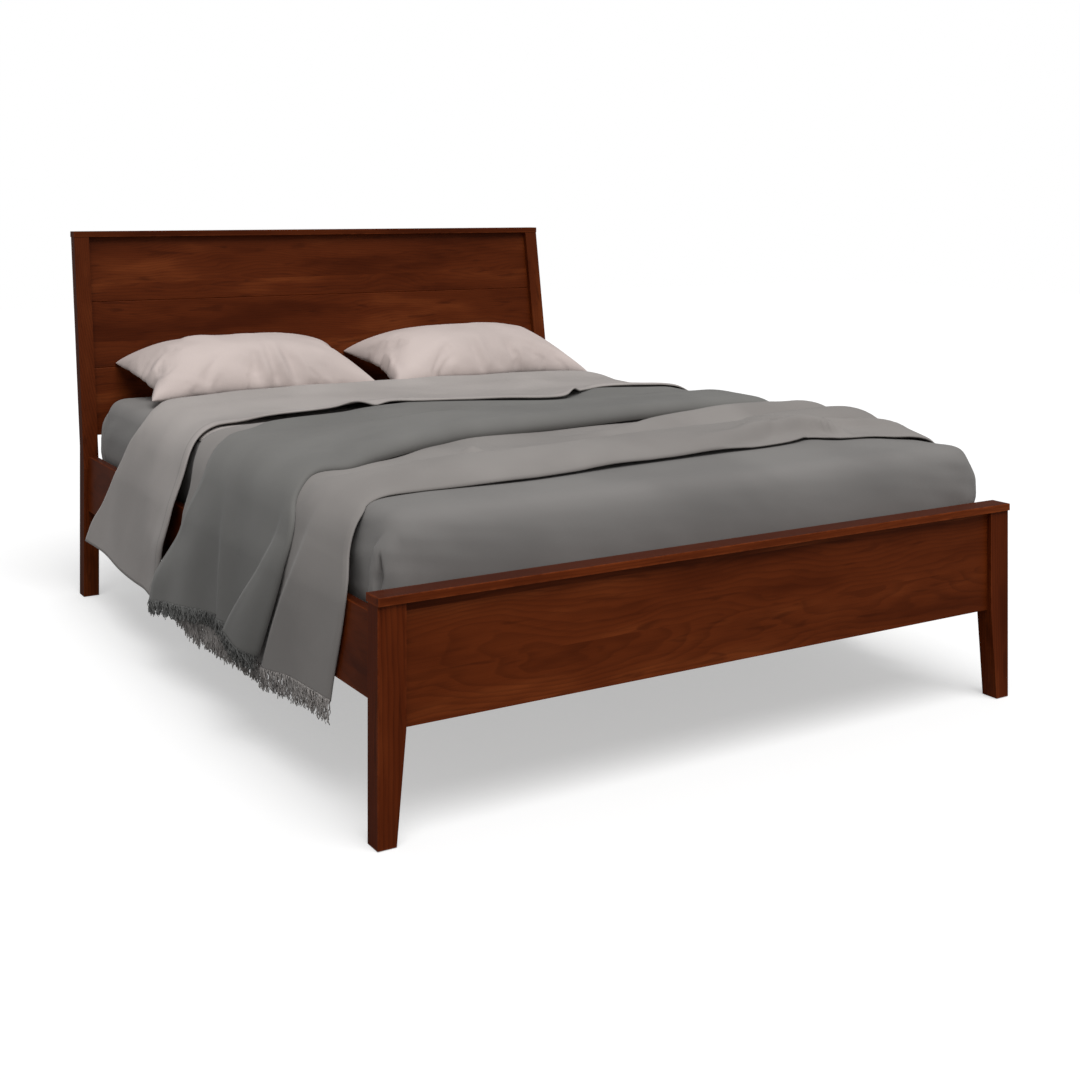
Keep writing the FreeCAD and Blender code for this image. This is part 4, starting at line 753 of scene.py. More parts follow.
def fitted_sheet():
    """Sheet over the mattress, with corner tucks and faint pull lines."""
    x, y, height, inset, (normal_x, normal_y, corner) = mattress_points(0.0005, 0.0152, 46)
    side = falling_step(inset, 0.02, 0.10)
    near = bell(corner, 0.16)
    pull = ripples(x + y, 2.2 * height, 0.10, 3) * (0.25 + near) * side
    hang = ripples(corner, 0.25 * height, 0.055, 8) * near * side * falling_step(
        height, 0.08, 0.20)
    wave = ripples(x, y, 0.42, 5)
    out = -0.0008 + PULL_HEIGHT * pull + HANG_HEIGHT * hang
    out = out + corner_tuck(corner, height) * falling_step(inset, 0.004, 0.03)
    # along the rail and at the right front corner the sheet is slack
    slack = smooth_step(height, 0.05, 0.10) * falling_step(height, 0.15, 0.215)
    out = out + RAIL_SLACK * slack * smooth_step(np.abs(normal_x), 0.5, 1.0)
    loose_corner = bump_at(corner, 0, (-.015, 0), (.045, 1)) * (x > 0) * (y < 0)
    out = out + CORNER_SLACK * loose_corner * smooth_step(height, 0.09, 0.13)
    out = np.maximum(out, DEEPEST)
    x = x + out * side * normal_x
    y = y + out * side * normal_y
    height = height + (1 - side) * (WAVE_HEIGHT * wave - 0.0012)
    points = np.stack([x, y + BED_MIDDLE[1], height + SHEET_LOW[2]], axis=-1)
    around = np.arange(x.shape[1]) / x.shape[1] * GIRTH
    uv = np.stack(np.broadcast_arrays(around, line_length(SIDE_FORM)[:, None]), axis=-1)
    flat = smooth_step(inset, 0.03, 0.12)[:, :, None]
    uv = uv * (1 - flat) + points[..., :2] * flat
    points = close_middle(points)
    uv = np.concatenate([uv, points[-3:, :, :2]])
    piece = grid_object("fitted_sheet", points, SHEET_CLOTH, closed=True, uv=uv)
    weld(piece)
    thicken(piece, 0.0008, -1)
    belongs(piece, "fitted_sheet")
    print("fitted sheet:", len(piece.data.polygons), "faces")


fitted_sheet()

# %% Mattress block
TICKING_DEPTH = 0.004    # from the sheet's outside to the block


def mattress():
    """The block itself, closed above and underneath."""
    x, y, height, _, _ = mattress_points(TICKING_DEPTH, 0.025, 12,
                                         CORNER_RADIUS + TICKING_DEPTH)
    points = np.stack([x, y + BED_MIDDLE[1], height + SHEET_LOW[2] + 0.001], axis=-1)
    under = close_middle(points[:1])[:0:-1]
    piece = grid_object("mattress_block", np.concatenate([under, close_middle(points)]),
                        TICKING, closed=True)
    weld(piece)
    belongs(piece, "mattress")
    print("mattress:", len(piece.data.polygons), "faces")


mattress()

# %% [markdown]
# ## Outline of the made bed
# Cloths that lie on one another all follow the same body, so they all follow one line: from
# the middle of the mattress, over its rounded edge and down beside the side rail. A cloth
# is then a height over that line, which keeps the layers in order without a simulation.

# %% Outline of the made bed
OUTLINE = smooth_line((
    (0, .6025), (.30, .6015), (.55, .5995), (.66, .5965), (.705, .5915), (.738, .579),
    (.762, .557), (.777, .528), (.786, .495), (.794, .455), (.799, .42), (.800, .38),
    (.800, .15)))
OUTLINE_LENGTH = line_length(OUTLINE)
OUTLINE_SLOPE = np.gradient(OUTLINE, OUTLINE_LENGTH, axis=0)
print("bed outline, middle to floor side:", round(float(OUTLINE_LENGTH[-1]), 3), "m")

LOOSE, SPARE = 0.034, 0.018    # above LOOSE a fold only gains up to SPARE
# the cloths lie higher over the right edge of the bed, where they are gathered
BUNDLE_LIFT, BUNDLE_PLACE, BUNDLE_WIDTH = 0.020, 0.79, 0.085
MOST_DROP = 0.02    # how far a cloth follows the mattress down at its foot end


def over_bed(across, along, height):
    """Points of a cloth: across is the distance from the middle along the outline,
    along is Y, and height lifts the cloth along the outline's normal.

    Heights over LOOSE are drawn in softly: LOOSE + SPARE * tanh((height - LOOSE) / SPARE).
    """
    height = np.where(height > LOOSE, LOOSE + SPARE * np.tanh((height - LOOSE) / SPARE),
                      height)
    side = np.sign(across)
    place = np.abs(across)
    x, z = (np.interp(place, OUTLINE_LENGTH, OUTLINE[:, k]) for k in (0, 1))
    slope_x, slope_z = (np.interp(place, OUTLINE_LENGTH, OUTLINE_SLOPE[:, k])
                        for k in (0, 1))
    size = np.hypot(slope_x, slope_z)
    bundle = bell(across - BUNDLE_PLACE, BUNDLE_WIDTH) * smooth_step(
        along, -0.99, -0.78)
    height = height + BUNDLE_LIFT * bundle * (1 - 0.4 * smooth_step(along, -0.2, 0.3))
    inset = BED_HALF[1] + along - BED_MIDDLE[1]
    drop = CROWN[-1, 1] - np.interp(inset, CROWN[:, 0], CROWN[:, 1])
    return np.stack([side * (x - slope_z / size * height), along,
                     z + slope_x / size * (height - np.clip(drop, 0, MOST_DROP))], axis=-1)

# %% [markdown]
# ## Throws and coverlet
# A draped cloth is a strip that follows the bed's outline from one hem to the other. Its
# front and head edges wander, so they are lines through a few points: distance across the
# bed and place along it, in metres. Folds are soft ridges that follow lines of their own,
# and they grow towards the hanging hem where the cloth is free.

# %% Edge lines and ridges
def along_line(line, across):
    """Place along the bed of a line through (across, along) points, smoothed."""
    dense = smooth_line(line, 12)
    return np.interp(across, dense[:, 0], dense[:, 1])


def level_of(heights, across):
    """Number that changes across the bed, from (across, number) pairs."""
    return np.interp(across, *zip(*heights))


def ridge(across, along, line, widths, heights):
    """Soft ridge on a line: height * exp(-(distance / width)^2).

    Widths are before and behind the line, so a ridge may be steep on one side.
    """
    distance = along - along_line(line, across)
    width = np.where(distance < 0, widths[0], widths[1])
    return level_of(heights, across) * bell(distance, width)


def ridges(across, along, table):
    """Sum of the ridges in a table of (line, widths, heights)."""
    return sum(ridge(across, along, *row) for row in table)


LIGHT_FRONT = ((-1.14, -.885), (-1.08, -.905), (-.92, -.962), (-.83, -.945), (-.76, -.928),
               (-.72, -.908), (-.56, -.922), (-.36, -.920), (-.06, -.880), (.17, -.869),
               (.29, -.860), (.40, -.838), (.465, -.818), (.52, -.860), (.62, -.873),
               (.70, -.925), (.76, -.945), (.84, -.940), (1.0, -.92), (1.14, -.89))
DARK_FRONT = ((-1.14, -.52), (-1.11, -.555), (-.98, -.634), (-.89, -.673), (-.83, -.673),
              (-.79, -.644), (-.76, -.628), (-.72, -.612), (-.66, -.640), (-.58, -.605),
              (-.50, -.567), (-.30, -.451), (-.16, -.438), (.11, -.429), (.38, -.397),
              (.56, -.359), (.74, -.320), (.90, -.29), (1.13, -.25))
DARK_HEAD = ((-1.18, .190), (-1.08, .130), (-.93, .0), (-.84, -.072), (-.79, -.080),
             (-.73, -.047), (-.70, -.021), (-.63, .010), (-.55, .074), (-.38, .118),
             (-.20, .20), (.20, .17), (.60, .22), (.76, .20), (.90, .22), (1.18, .27))
LIGHT_HEAD = ((-1.16, .09), (-1.0, .05), (-.94, .030), (-.86, .0), (-.79, .024),
              (-.74, .060), (-.65, .080), (-.55, .10), (-.40, .12), (0, .12), (.60, .12),
              (.76, .10), (1.14, .20))
COVERLET_HEM = ((-1.17, .235), (-1.10, .158), (-.99, .088), (-.91, .060), (-.842, .050),
                (-.795, .056), (-.75, .078), (-.71, .108), (-.66, .130), (-.55, .106),
                (-.40, .113), (-.20, .197), (-.10, .154), (.09, .055), (.26, .007),
                (.40, .110), (.50, .173), (.62, .144), (.74, .110), (.86, .11),
                (1.17, .22))
COVERLET_HEAD = ((-1.17, .935), (-1.09, .860), (-1.02, .760), (-.90, .604), (-.83, .551),
                 (-.77, .500), (-.72, .53), (-.68, .578), (-.62, .612), (-.53, .627),
                 (-.43, .645), (-.30, .655), (-.10, .650), (.15, .655), (.42, .650),
                 (.62, .62), (.72, .57), (.77, .54), (.84, .58), (1.0, .74), (1.17, .90))
FAR_SIDE = 0.74    # where a cloth starts to hang


def regions(across, hang_end=1.02, top_end=0.84):
    """Masks of the cloth hanging at the left, hanging at the right, and lying on top."""
    return (smooth_step(-across, FAR_SIDE, hang_end), smooth_step(across, FAR_SIDE, hang_end),
            1 - smooth_step(np.abs(across), 0.66, top_end))


def cloth_grid(front, head, reach, columns, rows):
    """Grid of (across, along) between two edge lines.

    Reach is how far the cloth goes down each side, from (share along, reach) pairs.
    """
    share = np.linspace(0, 1, rows)[:, None]
    across = np.linspace(-1, 1, columns)[None, :] * level_of(reach, share)
    start, end = along_line(front, across), along_line(head, across)
    return across, start + (end - start) * share

# %% Light throw
ROLL_CREST = ((-.80, -.72), (-.73, -.71), (-.66, -.78), (-.50, -.79), (-.30, -.79),
              (0, -.745), (.17, -.73), (.31, -.722), (.39, -.68), (.46, -.64),
              (.555, -.615), (.66, -.63), (.72, -.66), (.85, -.70))
ROLL_HIGH = ((-.84, 0), (-.73, .007), (-.66, .020), (-.5, .032), (0, .033), (.3, .032),
             (.45, .028), (.66, .030), (.76, .014), (.86, 0))
ROLL_FACE = ((-.8, .22), (.10, .15), (.30, .11), (.45, .075), (.8, .07))
# line, widths before and behind it, heights across the bed
LIGHT_RIDGES = (
    (((.05, -.85), (.17, -.832), (.25, -.822), (.32, -.795), (.42, -.775), (.47, -.762),
      (.51, -.780), (.54, -.82), (.60, -.84)), (0.021, 0.026),
     ((.08, 0), (.20, .012), (.32, .026), (.46, .046), (.525, .040), (.57, 0))),
    (((.36, -.72), (.50, -.700), (.60, -.715), (.68, -.77), (.73, -.83)), (0.022, 0.030),
     ((.36, 0), (.44, .014), (.58, .022), (.68, .016), (.75, 0))),
    (((-.15, -.60), (.08, -.572), (.21, -.536), (.40, -.496), (.60, -.483), (.68, -.49),
      (.74, -.52), (.85, -.56)), (0.048, 0.038),
     ((-.12, 0), (.08, .016), (.30, .031), (.60, .038), (.70, .030), (.82, .008),
      (.90, 0))),
    (((-1.16, -.550), (-1.119, -.574), (-1.056, -.615), (-.981, -.672), (-.911, -.729),
      (-.837, -.762), (-.76, -.785)), (0.16, 0.022),
     ((-1.16, .010), (-.98, .014), (-.85, .009), (-.77, 0))),
)
LIGHT_HANGING_RIDGES = (
    (((-1.15, -.14), (-.95, -.16), (-.78, -.18)), (0.10, 0.10), ((-1.15, .020), (-.78, 0))),
)
# height, middle, size
LIGHT_SWELLINGS = (
    (0.016, (.735, -.72), (.055, .24)), (0.013, (-.35, -.615), (.022, .024)),
    (-0.016, (.476, -.815), (.016, .020)),
)
LIGHT_REACH = ((0, 1.132), (.2, 1.136), (.34, 1.156), (.6, 1.164), (.9, 1.168), (1, 1.160))


def light_height(across, along):
    """Rolled front edge, ridges that run together on the right, and hanging folds."""
    front = along_line(LIGHT_FRONT, across)
    left, right, top = regions(across, top_end=0.82)
    height = 0.0025 + 0.0035 * smooth_step(along - front, 0, 0.015)

    crest = along_line(ROLL_CREST, across)
    face = np.maximum(level_of(ROLL_FACE, across), 0.02)
    foot = np.maximum(front, crest - face)
    climb = np.clip((along - foot) / (crest - foot + 1e-6), 0, 1)
    rise = np.sin(0.5 * math.pi * climb ** 0.75)
    fall = falling_step(along - crest, 0.0, 0.064)
    height += level_of(ROLL_HIGH, across) * rise * fall

    height += ridges(across, along, LIGHT_RIDGES)
    height += swellings(across, along, LIGHT_SWELLINGS)
    height += 0.0022 * ripples(across, along, 0.21, 11) * top

    height += left * ridges(across, along, LIGHT_HANGING_RIDGES)
    height += right * 0.014 * (1 + np.sin(along * 20 + 1.2))
    return np.maximum(height, 0.002)


def light_surface(across, along):
    """Light throw; where the dark one covers it, it is pressed flat."""
    cover = smooth_step(along - along_line(DARK_FRONT, across), -0.01, 0.035)
    side = smooth_step(np.abs(across), FAR_SIDE, 1.02)
    height = light_height(across, along)
    pressed = np.minimum(height, 0.0055 + side * 0.4 * dark_height(across, along))
    return over_bed(across, along, height * (1 - cover) + pressed * cover)

# %% Dark throw
DARK_REACH = ((0, 1.132), (.10, 1.125), (.22, 1.108), (.38, 1.110), (.6, 1.125),
              (.85, 1.150), (1, 1.170))
FOLD_EDGE = ((-1.17, -.365), (-1.12, -.370), (-1.08, -.396), (-1.0, -.48), (-.946, -.541),
             (-.88, -.60), (-.80, -.62), (-.70, -.58))
DARK_ROLL = ((-.86, .003), (-.74, .008), (-.66, .014), (-.58, .024), (-.45, .034),
             (0, .037), (.40, .035), (.60, .028), (.70, .018), (.82, .004))
HANGING_BULGE = ((-1.16, .046), (-1.08, .040), (-1.0, .027), (-.94, .016), (-.86, .004),
                 (-.80, 0))
DARK_WAVE = (((-.80, -.30), (-.45, -.27), (0, -.20), (.8, -.12)), (0.055, 0.05),
             ((-.75, .0036), (-.4, .0060), (.6, .0030)))
DARK_HANGING_RIDGES = (
    (((-1.17, -.292), (-1.0, -.300), (-.93, -.305), (-.78, -.275)), (0.060, 0.022),
     ((-1.17, .016), (-.93, .010), (-.76, .003))),
    (((-1.17, -.02), (-.95, -.13), (-.78, -.19)), (0.10, 0.12),
     ((-1.17, .026), (-.95, .014), (-.78, .003))),
)


def dark_height(across, along):
    """Thick rolled front edge, low waves on top, and the folds of the hanging part."""
    front = along - along_line(DARK_FRONT, across)
    head = along_line(DARK_HEAD, across) - along
    left, right, top = regions(across)
    edge = 1 - np.clip(front / 0.050, 0, 1)
    height = 0.0085 + level_of(DARK_ROLL, across) * np.sqrt(1 - edge ** 2) * (
        1 - 0.92 * smooth_step(front, 0.08, 0.40))
    height += 0.004 * np.sqrt(1 - (1 - np.clip(front / 0.010, 0, 1)) ** 2)
    height += top * ridge(across, along, *DARK_WAVE)
    height += 0.0028 * ripples(across * 0.5, along * 1.8, 0.40, 21) * top

    fold = along_line(FOLD_EDGE, across)
    place = np.clip(front / np.maximum(front + fold - along, 0.01), 0, 1.6)
    bulge = smooth_step(place, -0.35, 0.62) * falling_step(place, 0.80, 1.16)
    height += bulge * level_of(HANGING_BULGE, across)
    height += left * ridges(across, along, DARK_HANGING_RIDGES)
    height -= 0.004 * falling_step(head, 0, 0.03)
    height += 0.034 * smooth_step(-across, 0.96, 1.12) * bell(head, 0.11)
    height += right * 0.016 * (1 + np.sin(along * 20 + 1.2))
    return np.maximum(height, 0.002)


def dark_surface(across, along):
    """Dark throw."""
    return over_bed(across, along, dark_height(across, along))

# %% Coverlet
COVERLET_REACH = ((0, 1.172), (1, 1.160))
# height, middle (across, distance from the hem), size
HEM_SWELLINGS = (
    (0.010, (-.30, .0), (.05, .018)), (-0.008, (-.22, .0), (.03, .016)),
    (0.014, (.33, .0), (.03, .022)),
)


def coverlet_surface(across, along):
    """Turned-down end: over the dark throw at its hem, on the bed behind it."""
    left, right, top = regions(across, hang_end=1.05)
    hem = along - along_line(COVERLET_HEM, across)
    head = along_line(COVERLET_HEAD, across) - along
    over_throw = falling_step(along - along_line(DARK_HEAD, across), -0.02, 0.16)
    over_light = falling_step(along - along_line(LIGHT_HEAD, across), -0.02, 0.05)
    height = 0.0045 + 0.005 * over_light + 0.011 * over_throw
    height += 0.003 * smooth_step(hem, 0, 0.012)
    height += 0.0045 * bell(hem - 0.02, 0.055)
    height += 0.0020 * ripples(across, along, 0.30, 31) * top
    height += 0.014 * top * bell(head - 0.03, 0.055)
    height += (left + right) * (0.012 * bell(hem, 0.22) + 0.004
                                + 0.006 * ripples(across * 0.35, along, 0.55, 33))
    height -= 0.018 * smooth_step(-across, 1.0, 1.13) * bell(hem, 0.12)
    height += swellings(across, hem, HEM_SWELLINGS)
    return over_bed(across, along, np.maximum(height, 0.004))


def under_surface(across, along):
    """Body of the coverlet under the throws, close on the bed."""
    return over_bed(across, along, np.full(np.shape(across + along), 0.0012))

# %% Make the four cloths
def draped(name, surface, front, head, reach, material, thickness, cells, slot_name,
           node=None):
    """Cloth on the bed: grid of (columns, rows), thickness and what it stands in for."""
    across, along = cloth_grid(front, head, reach, *cells)
    uv = np.stack([across, along - along_line(front, across)], axis=-1)
    piece = grid_object(name, surface(across, along), material, uv=uv)
    thicken(piece, thickness, 1)
    belongs(piece, node)
    print(name, cells[0] * cells[1], "points")
    return piece


UNDER_FRONT = ((-1.2, -.20), (1.2, -.20))
UNDER_HEAD = ((-1.2, .62), (-.9, .56), (-.7, .50), (0, .56), (.7, .50), (.9, .56), (1.2, .62))
UNDER_REACH = ((0, 0.75), (1, 0.75))
LIGHT_CUT = (light_surface, LIGHT_FRONT, LIGHT_HEAD, LIGHT_REACH)
DARK_CUT = (dark_surface, DARK_FRONT, DARK_HEAD, DARK_REACH)
under = draped("coverlet_body", under_surface, UNDER_FRONT, UNDER_HEAD, UNDER_REACH,
               COVERLET_CLOTH, 0.0015, (120, 50), "coverlet_fabric")
light = draped("light_throw", *LIGHT_CUT, LIGHT_THROW_CLOTH, 0.003, (280, 165),
               "light_throw_fabric", "throw_light")
dark = draped("dark_throw", *DARK_CUT, DARK_THROW_CLOTH, 0.003, (280, 130),
              "dark_throw_fabric", "throw_dark")
turned = draped("coverlet", coverlet_surface, COVERLET_HEM, COVERLET_HEAD, COVERLET_REACH,
                COVERLET_CLOTH, 0.004, (280, 90), "coverlet_fabric",
                "turned_down_coverlet")

# %% [markdown]
# ## Fringes
# Both throws end in a fringe: the warp is left unwoven for a few centimetres and the
# threads twist into uneven strands. Each strand is a thin tapering tube that hangs from the
# hem, sways a little and sticks to its neighbours. All strands of a throw are one mesh,
# worked out at once.

# %% Fringe strands
def fringe(name, surface, front, head, reach, material, slot_name, count, length, seed):
    """Strands along both hems of a throw.

    A strand's middle line is base - (0, 0, length * t) + sway * sin(turns * t); rings of
    three points follow it, thinner towards the end.
    """
    rng = np.random.default_rng(seed)
    share = np.sort(rng.uniform(0.002, 0.998, count))
    side = np.where(np.arange(count) % 2 == 0, -1.0, 1.0)
    across = side * (level_of(reach, share) - 0.002)
    start, end = along_line(front, across), along_line(head, across)
    base = surface(across, start + (end - start) * share)
    base = base + np.stack([side * rng.uniform(0.0, 0.004, count),
                            rng.uniform(-0.003, 0.003, count), np.zeros(count)], axis=-1)
    clump = ripples(share * 60, side, 1.0, seed + 1)
    size = length * (0.90 + 0.07 * clump + rng.uniform(-0.12, 0.12, count))
    steps = np.linspace(0, 1, 9)[:, None]
    phase = rng.uniform(0, 2 * math.pi, (4, count))
    swing = rng.uniform(0.3, 1.0, (3, count))
    sway_y = 0.0065 * swing[0] * np.sin(3.2 * steps + phase[0]) * steps + (
        0.0030 * swing[1] * (np.sin(11 * steps + phase[1]) - np.sin(phase[1])))
    sway_x = 0.0050 * swing[2] * np.sin(3.6 * steps + phase[2]) * steps + (
        0.0020 * swing[0] * (np.cos(11 * steps + phase[1]) - np.cos(phase[1])))
    lean_y = rng.normal(0, 0.010, count) * steps + 0.006 * np.roll(clump, 3) * steps
    middle = np.stack([base[:, 0] + sway_x, base[:, 1] + sway_y + lean_y,
                       base[:, 2] + 0.003 - size * steps], axis=-1)
    radius = rng.uniform(0.0012, 0.0021, count) * (1.05 - 0.5 * steps)
    corner = np.arange(3) * 2 * math.pi / 3 + phase[3][None, :, None]
    ring = np.stack([np.cos(corner), np.sin(corner), np.zeros_like(corner)], axis=-1)
    points = middle[:, :, None, :] + radius[:, :, None, None] * ring
    index = np.arange(points.size // 3).reshape(points.shape[:3])
    quads = quads_of(index, closed=True)[:, [0, 3, 2, 1]]    # turned to face outwards
    caps = np.concatenate([index[0], index[-1, :, ::-1]])
    piece = mesh_object(name, points, quads.tolist() + caps.tolist(), material)
    belongs(piece)
    print(name, count, "strands,", len(piece.data.polygons), "faces")
    return piece


LIGHT_YARN = cloth_material("light_fringe_yarn", (0.37, 0.345, 0.33), source="Object",
                            sheen=0.1, contrast=0.35)
DARK_YARN = cloth_material("dark_fringe_yarn", (0.135, 0.135, 0.13), source="Object",
                           sheen=0.1, contrast=0.4)
light_fringe = fringe("light_fringe", *LIGHT_CUT, LIGHT_YARN, "light_throw_fabric", 1300,
                      0.047, 41)
dark_fringe = fringe("dark_fringe", *DARK_CUT, DARK_YARN, "dark_throw_fabric", 1100,
                     0.036, 43)

# %% [markdown]
# ## Pillows
# A pillow is two rectangles of cloth sewn together and stuffed. The seam stays flat while
# the middle swells, and the cloth puckers towards the corners. A cloth simulation with
# inside pressure makes exactly that from a flat bag, so the bag starts flat and is blown up
# without gravity. Its form is mixed with a smooth lens of the pillow's size, and the long
# creases that a hand leaves are pressed into it. Then it is leaned against the headboard
# and settled on the bed.

# %% Flat bag
PILLOW_SIZE = np.array([0.705, 0.430])
PILLOW_SHIFT = {"left": 0.018, "right": 0.012}
PILLOW_RISE, PILLOW_DROP = 0.112, 0.046
PILLOW_TILT = math.radians(12)
BAG_SLACK = np.array([1.075, 1.15])


def flat_bag(name, seed, columns=86, rows=52):
    """Two grids of the same size, joined round their border."""
    across = np.linspace(-0.5, 0.5, columns)
    deep = np.linspace(-0.5, 0.5, rows)
    x, y = np.meshgrid(across * PILLOW_SIZE[0] * BAG_SLACK[0],
                       deep * PILLOW_SIZE[1] * BAG_SLACK[1])
    dome = np.sqrt(np.clip((1 - (2 * across[None, :]) ** 2)
                           * (1 - (2 * deep[:, None]) ** 2), 0, 1))
    bulge = dome * (0.010 + 0.002 * ripples(x, y, 0.09, seed))
    top = np.arange(rows * columns).reshape(rows, columns)
    border = np.zeros((rows, columns), dtype=bool)
    border[[0, -1], :] = True
    border[:, [0, -1]] = True
    under_points = np.stack([x, y, -bulge], axis=-1)[~border]
    under_index = top.copy()
    under_index[~border] = rows * columns + np.arange(len(under_points))
    points = np.concatenate([np.stack([x, y, bulge], axis=-1).reshape(-1, 3), under_points])

    faces = np.concatenate([quads_of(top), quads_of(under_index)[:, ::-1]])
    return mesh_object(name, points, faces.tolist(), PILLOW_CLOTH)


def vertex_points(mesh):
    """Points of a mesh as an array."""
    points = np.empty(len(mesh.vertices) * 3)
    mesh.vertices.foreach_get("co", points)
    return points.reshape(-1, 3)

# %% Inflation
PILLOW_CLOTH_SETTINGS = {
    "quality": 7, "mass": 0.25, "tension_stiffness": 18, "compression_stiffness": 18,
    "shear_stiffness": 6, "bending_stiffness": 0.25, "tension_damping": 12,
    "compression_damping": 12, "air_damping": 2.0, "use_pressure": True,
    "uniform_pressure_force": 4.5,
}


def blow_up(piece, frames=24):
    """Cloth with inside pressure and no gravity; returns the settled points."""
    modifier = piece.modifiers.new("inflate", "CLOTH")
    for name, value in PILLOW_CLOTH_SETTINGS.items():
        setattr(modifier.settings, name, value)
    modifier.settings.effector_weights.gravity = 0
    modifier.point_cache.frame_start = 1
    modifier.point_cache.frame_end = frames
    scene = bpy.context.scene
    for number in range(1, frames + 1):
        scene.frame_set(number)
    depsgraph = bpy.context.evaluated_depsgraph_get()
    points = vertex_points(piece.evaluated_get(depsgraph).data)
    piece.modifiers.remove(modifier)
    scene.frame_set(1)
    return points

# %% Creases and placing
SIMULATED_SHARE = 0.55    # of the blown-up form; the rest is a smooth lens
CREASE_GAIN = 1.35
CORNER_DROOP = 0.010
SETTLE = 0.012    # how softly the underside gives where it meets the bed
# start and end on the pillow as shares of half its size, width, depth in metres
LEFT_CREASES = (
    ((.02, -1.0), (-.06, -.30), .013, -.006), ((.10, -1.0), (.02, -.15), .012, .007),
    ((.17, -1.0), (.10, -.25), .012, -.007), ((.25, -1.0), (.16, -.05), .014, .007),
    ((.34, -1.0), (.24, -.20), .014, -.008), ((.45, -1.0), (.34, -.40), .016, .005),
    ((.60, -1.0), (.45, -.30), .020, -.004),
    ((-.98, -.98), (-.62, .35), .020, .010), ((-1.0, -.70), (-.74, .45), .022, -.008),
    ((-.55, .30), (-.25, .10), .030, .005),
)
RIGHT_CREASES = (
    ((-.95, -.95), (-.70, .35), .018, .010), ((-1.0, -.60), (-.82, .45), .022, -.009),
    ((.00, -1.0), (-.12, -.25), .014, -.007), ((.06, -1.0), (-.02, -.20), .012, .006),
    ((.22, -1.0), (.08, -.20), .016, -.006), ((.38, -1.0), (.22, -.30), .015, -.006),
    ((.45, -1.0), (.32, -.35), .014, .005), ((-.35, -1.0), (-.42, -.2), .022, .004),
)


def crease_height(x, y, creases):
    """Sum of long soft dents: depth * exp(-(distance / width)^2), fading at the far end."""
    total = np.zeros(x.shape)
    for start, end, width, depth in creases:
        first = np.array(start) * PILLOW_SIZE / 2
        run = np.array(end) * PILLOW_SIZE / 2 - first
        length = np.hypot(*run)
        along = ((x - first[0]) * run[0] + (y - first[1]) * run[1]) / length ** 2
        bow = 0.10 * length * np.sin(math.pi * np.clip(along, 0, 1))
        off = ((x - first[0]) * run[1] - (y - first[1]) * run[0]) / length + bow
        fade = smooth_step(along, -0.05, 0.12) * falling_step(along, 0.45, 1.05)
        spread = width * (0.6 + 0.9 * np.clip(along, 0, 1))
        total += depth * bell(off, spread) * fade
    return total


def fitted(points):
    """Points centred and scaled to the pillow's length, depth, rise and drop."""
    points = points - 0.5 * (points.max(0) + points.min(0)) * (1, 1, 0)
    points[:, :2] *= 0.5 * PILLOW_SIZE / points[:, :2].max(0)
    points[:, 2] *= np.where(points[:, 2] > 0, PILLOW_RISE / points[:, 2].max(),
                             -PILLOW_DROP / points[:, 2].min())
    return points


def pillow(side, creases, seed):
    """One pillow: bag, inflation, creases, tilt, and its rest on bed and headboard."""
    name = f"pillow_{side}"
    low, high = (np.array(corner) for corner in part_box(name))
    piece = flat_bag(name + "_case", seed)
    points = vertex_points(piece.data)
    shares = np.abs(points[:, :2]) / (0.5 * PILLOW_SIZE * BAG_SLACK)
    dome = np.sqrt(np.clip((1 - shares[:, 0] ** 2.6) * (1 - shares[:, 1] ** 2), 0, 1))
    lens = fitted(np.column_stack([points[:, :2], np.sign(points[:, 2]) * dome]))
    points = ((1 - SIMULATED_SHARE) * lens + (
        SIMULATED_SHARE * fitted(blow_up(piece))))
    body = np.clip(points[:, 2] / 0.03, 0, 1)
    points[:, 2] += CREASE_GAIN * body * crease_height(*points[:, :2].T, creases)
    u, v = (2 * points[:, :2] / PILLOW_SIZE).T
    points[:, 2] -= CORNER_DROOP * np.abs(u) ** 5 * (1 + v)
    x, depth, rise = points.T
    cos, sin = math.cos(PILLOW_TILT), math.sin(PILLOW_TILT)
    y = depth * cos - rise * sin
    z = depth * sin + rise * cos
    x = x + 0.5 * (low[0] + high[0]) + PILLOW_SHIFT[side]
    y = y + high[1] - y.max()
    z = z + low[2] - z.min()
    rest = np.interp(np.abs(x), OUTLINE[:, 0], OUTLINE[:, 1]) + 0.001
    z = np.maximum(z, rest + 0.3 * SETTLE * np.exp(-np.maximum(z - rest, -0.01) / SETTLE))
    piece.data.vertices.foreach_set("co", np.stack([x, y, z], axis=-1).ravel())
    smooth = piece.modifiers.new("smooth", "SUBSURF")
    smooth.levels = smooth.render_levels = 1
    belongs(piece, name)
    print(name, "thickness", round(float(z.max() - z.min()), 3))


pillow("left", LEFT_CREASES, 51)
pillow("right", RIGHT_CREASES, 53)

# %% [markdown]
# ## Stage and light
# The photograph is a cut-out on white under even light, so the stage is a pale floor and a
# bright world. Both look brighter to the camera than to the bed: the camera sees them white,
# while the bed gets only as much light from them as keeps its shadows. A wide sun from the
# front left gives those shadows their direction.

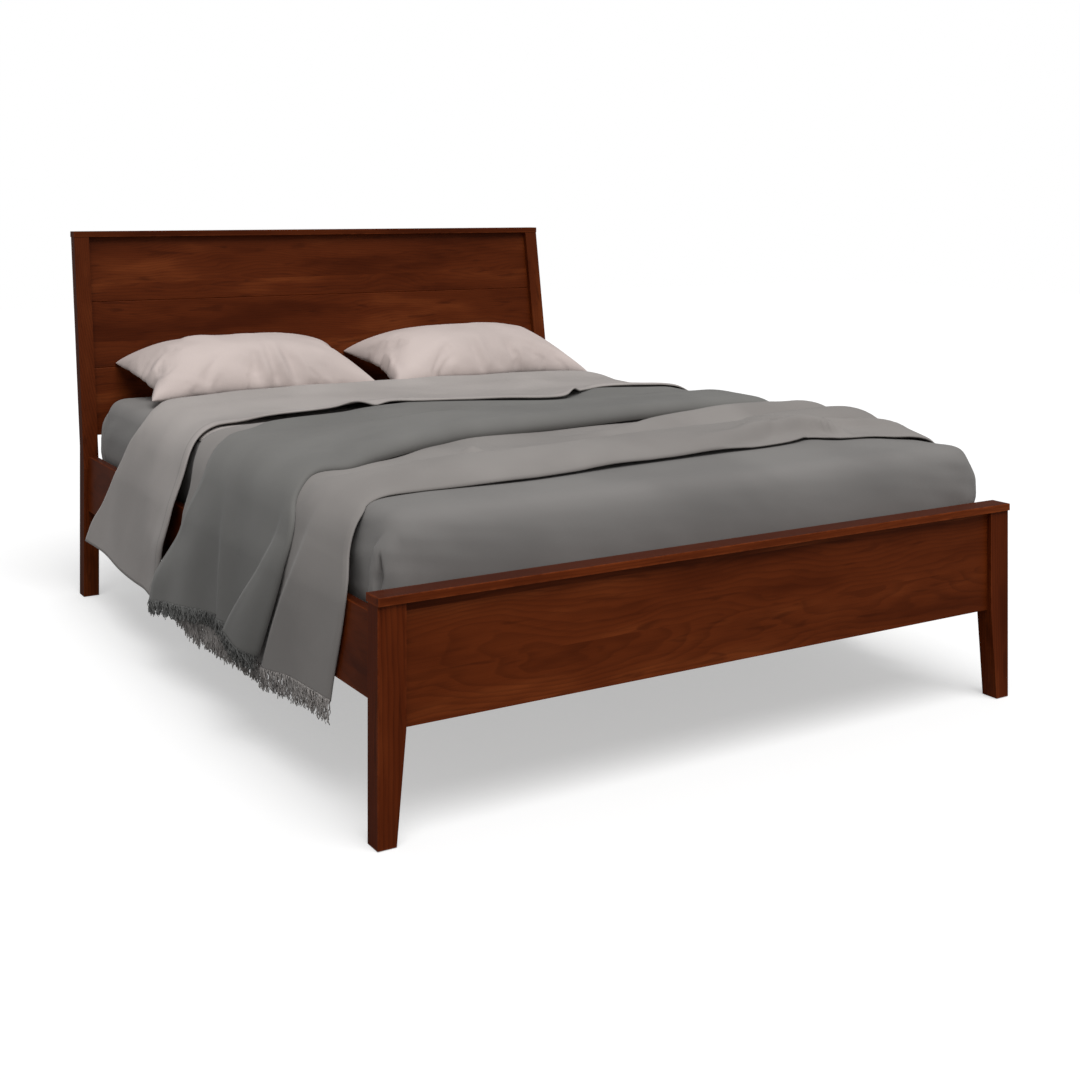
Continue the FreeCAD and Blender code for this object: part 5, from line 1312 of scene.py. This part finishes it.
# %% Stage and light
FLOOR_SEEN, FLOOR_LIT, FLOOR_MIRRORED, FLOOR_GLOW = 0.62, 0.30, 0.12, 0.46
WORLD_LIGHT, WORLD_SEEN_MORE, WORLD_MIRRORED_LESS = 0.33, 0.67, 0.18
SUN_STRENGTH, SUN_WIDTH = 2.3, math.radians(45)
SUN_TURN = (math.radians(27), math.radians(-4), 0)
FLOOR_HALF = 14    # metres


def grey(value):
    """Colour with equal red, green and blue."""
    return (value, value, value)


floor_material, tree, shader = new_material("pale_floor")
light_path = add_node(tree, "ShaderNodeLightPath").outputs
seen, mirrored = light_path["Is Camera Ray"], light_path["Is Glossy Ray"]
tint = mix_colour(tree, seen, grey(FLOOR_LIT), grey(FLOOR_SEEN))
tree.links.new(mix_colour(tree, mirrored, tint, grey(FLOOR_MIRRORED)),
               shader.inputs["Base Color"])
tree.links.new(mix_colour(tree, seen, grey(0.0), grey(FLOOR_GLOW)),
               shader.inputs["Emission Color"])
shader.inputs["Emission Strength"].default_value = 1.0
shader.inputs["Roughness"].default_value = 0.9
shader.inputs["Specular IOR Level"].default_value = 0.0
floor = grid_object("floor", FLOOR_HALF * np.array([[(-1, -1, 0), (1, -1, 0)],
                                                    [(-1, 1, 0), (1, 1, 0)]]),
                    floor_material)

world = bpy.data.worlds.new("studio")
bpy.context.scene.world = world
world.use_nodes = True
tree = world.node_tree
tree.nodes.clear()
light_path = add_node(tree, "ShaderNodeLightPath").outputs
strength = math_node(tree, "MULTIPLY_ADD", light_path["Is Camera Ray"], WORLD_SEEN_MORE,
                     math_node(tree, "SUBTRACT", WORLD_LIGHT, math_node(
                         tree, "MULTIPLY", light_path["Is Glossy Ray"],
                         WORLD_MIRRORED_LESS)))
background = add_node(tree, "ShaderNodeBackground", {
    "Color": (1, 1, 1, 1), "Strength": strength})
add_node(tree, "ShaderNodeOutputWorld", {0: background.outputs[0]})

lamp_data = bpy.data.lights.new("softbox", "SUN")
lamp_data.energy = SUN_STRENGTH
lamp_data.angle = SUN_WIDTH
new_object("softbox", lamp_data).rotation_euler = SUN_TURN
bpy.context.scene.view_settings.view_transform = "Standard"
print("floor", 2 * FLOOR_HALF, "m wide; sun", SUN_STRENGTH)
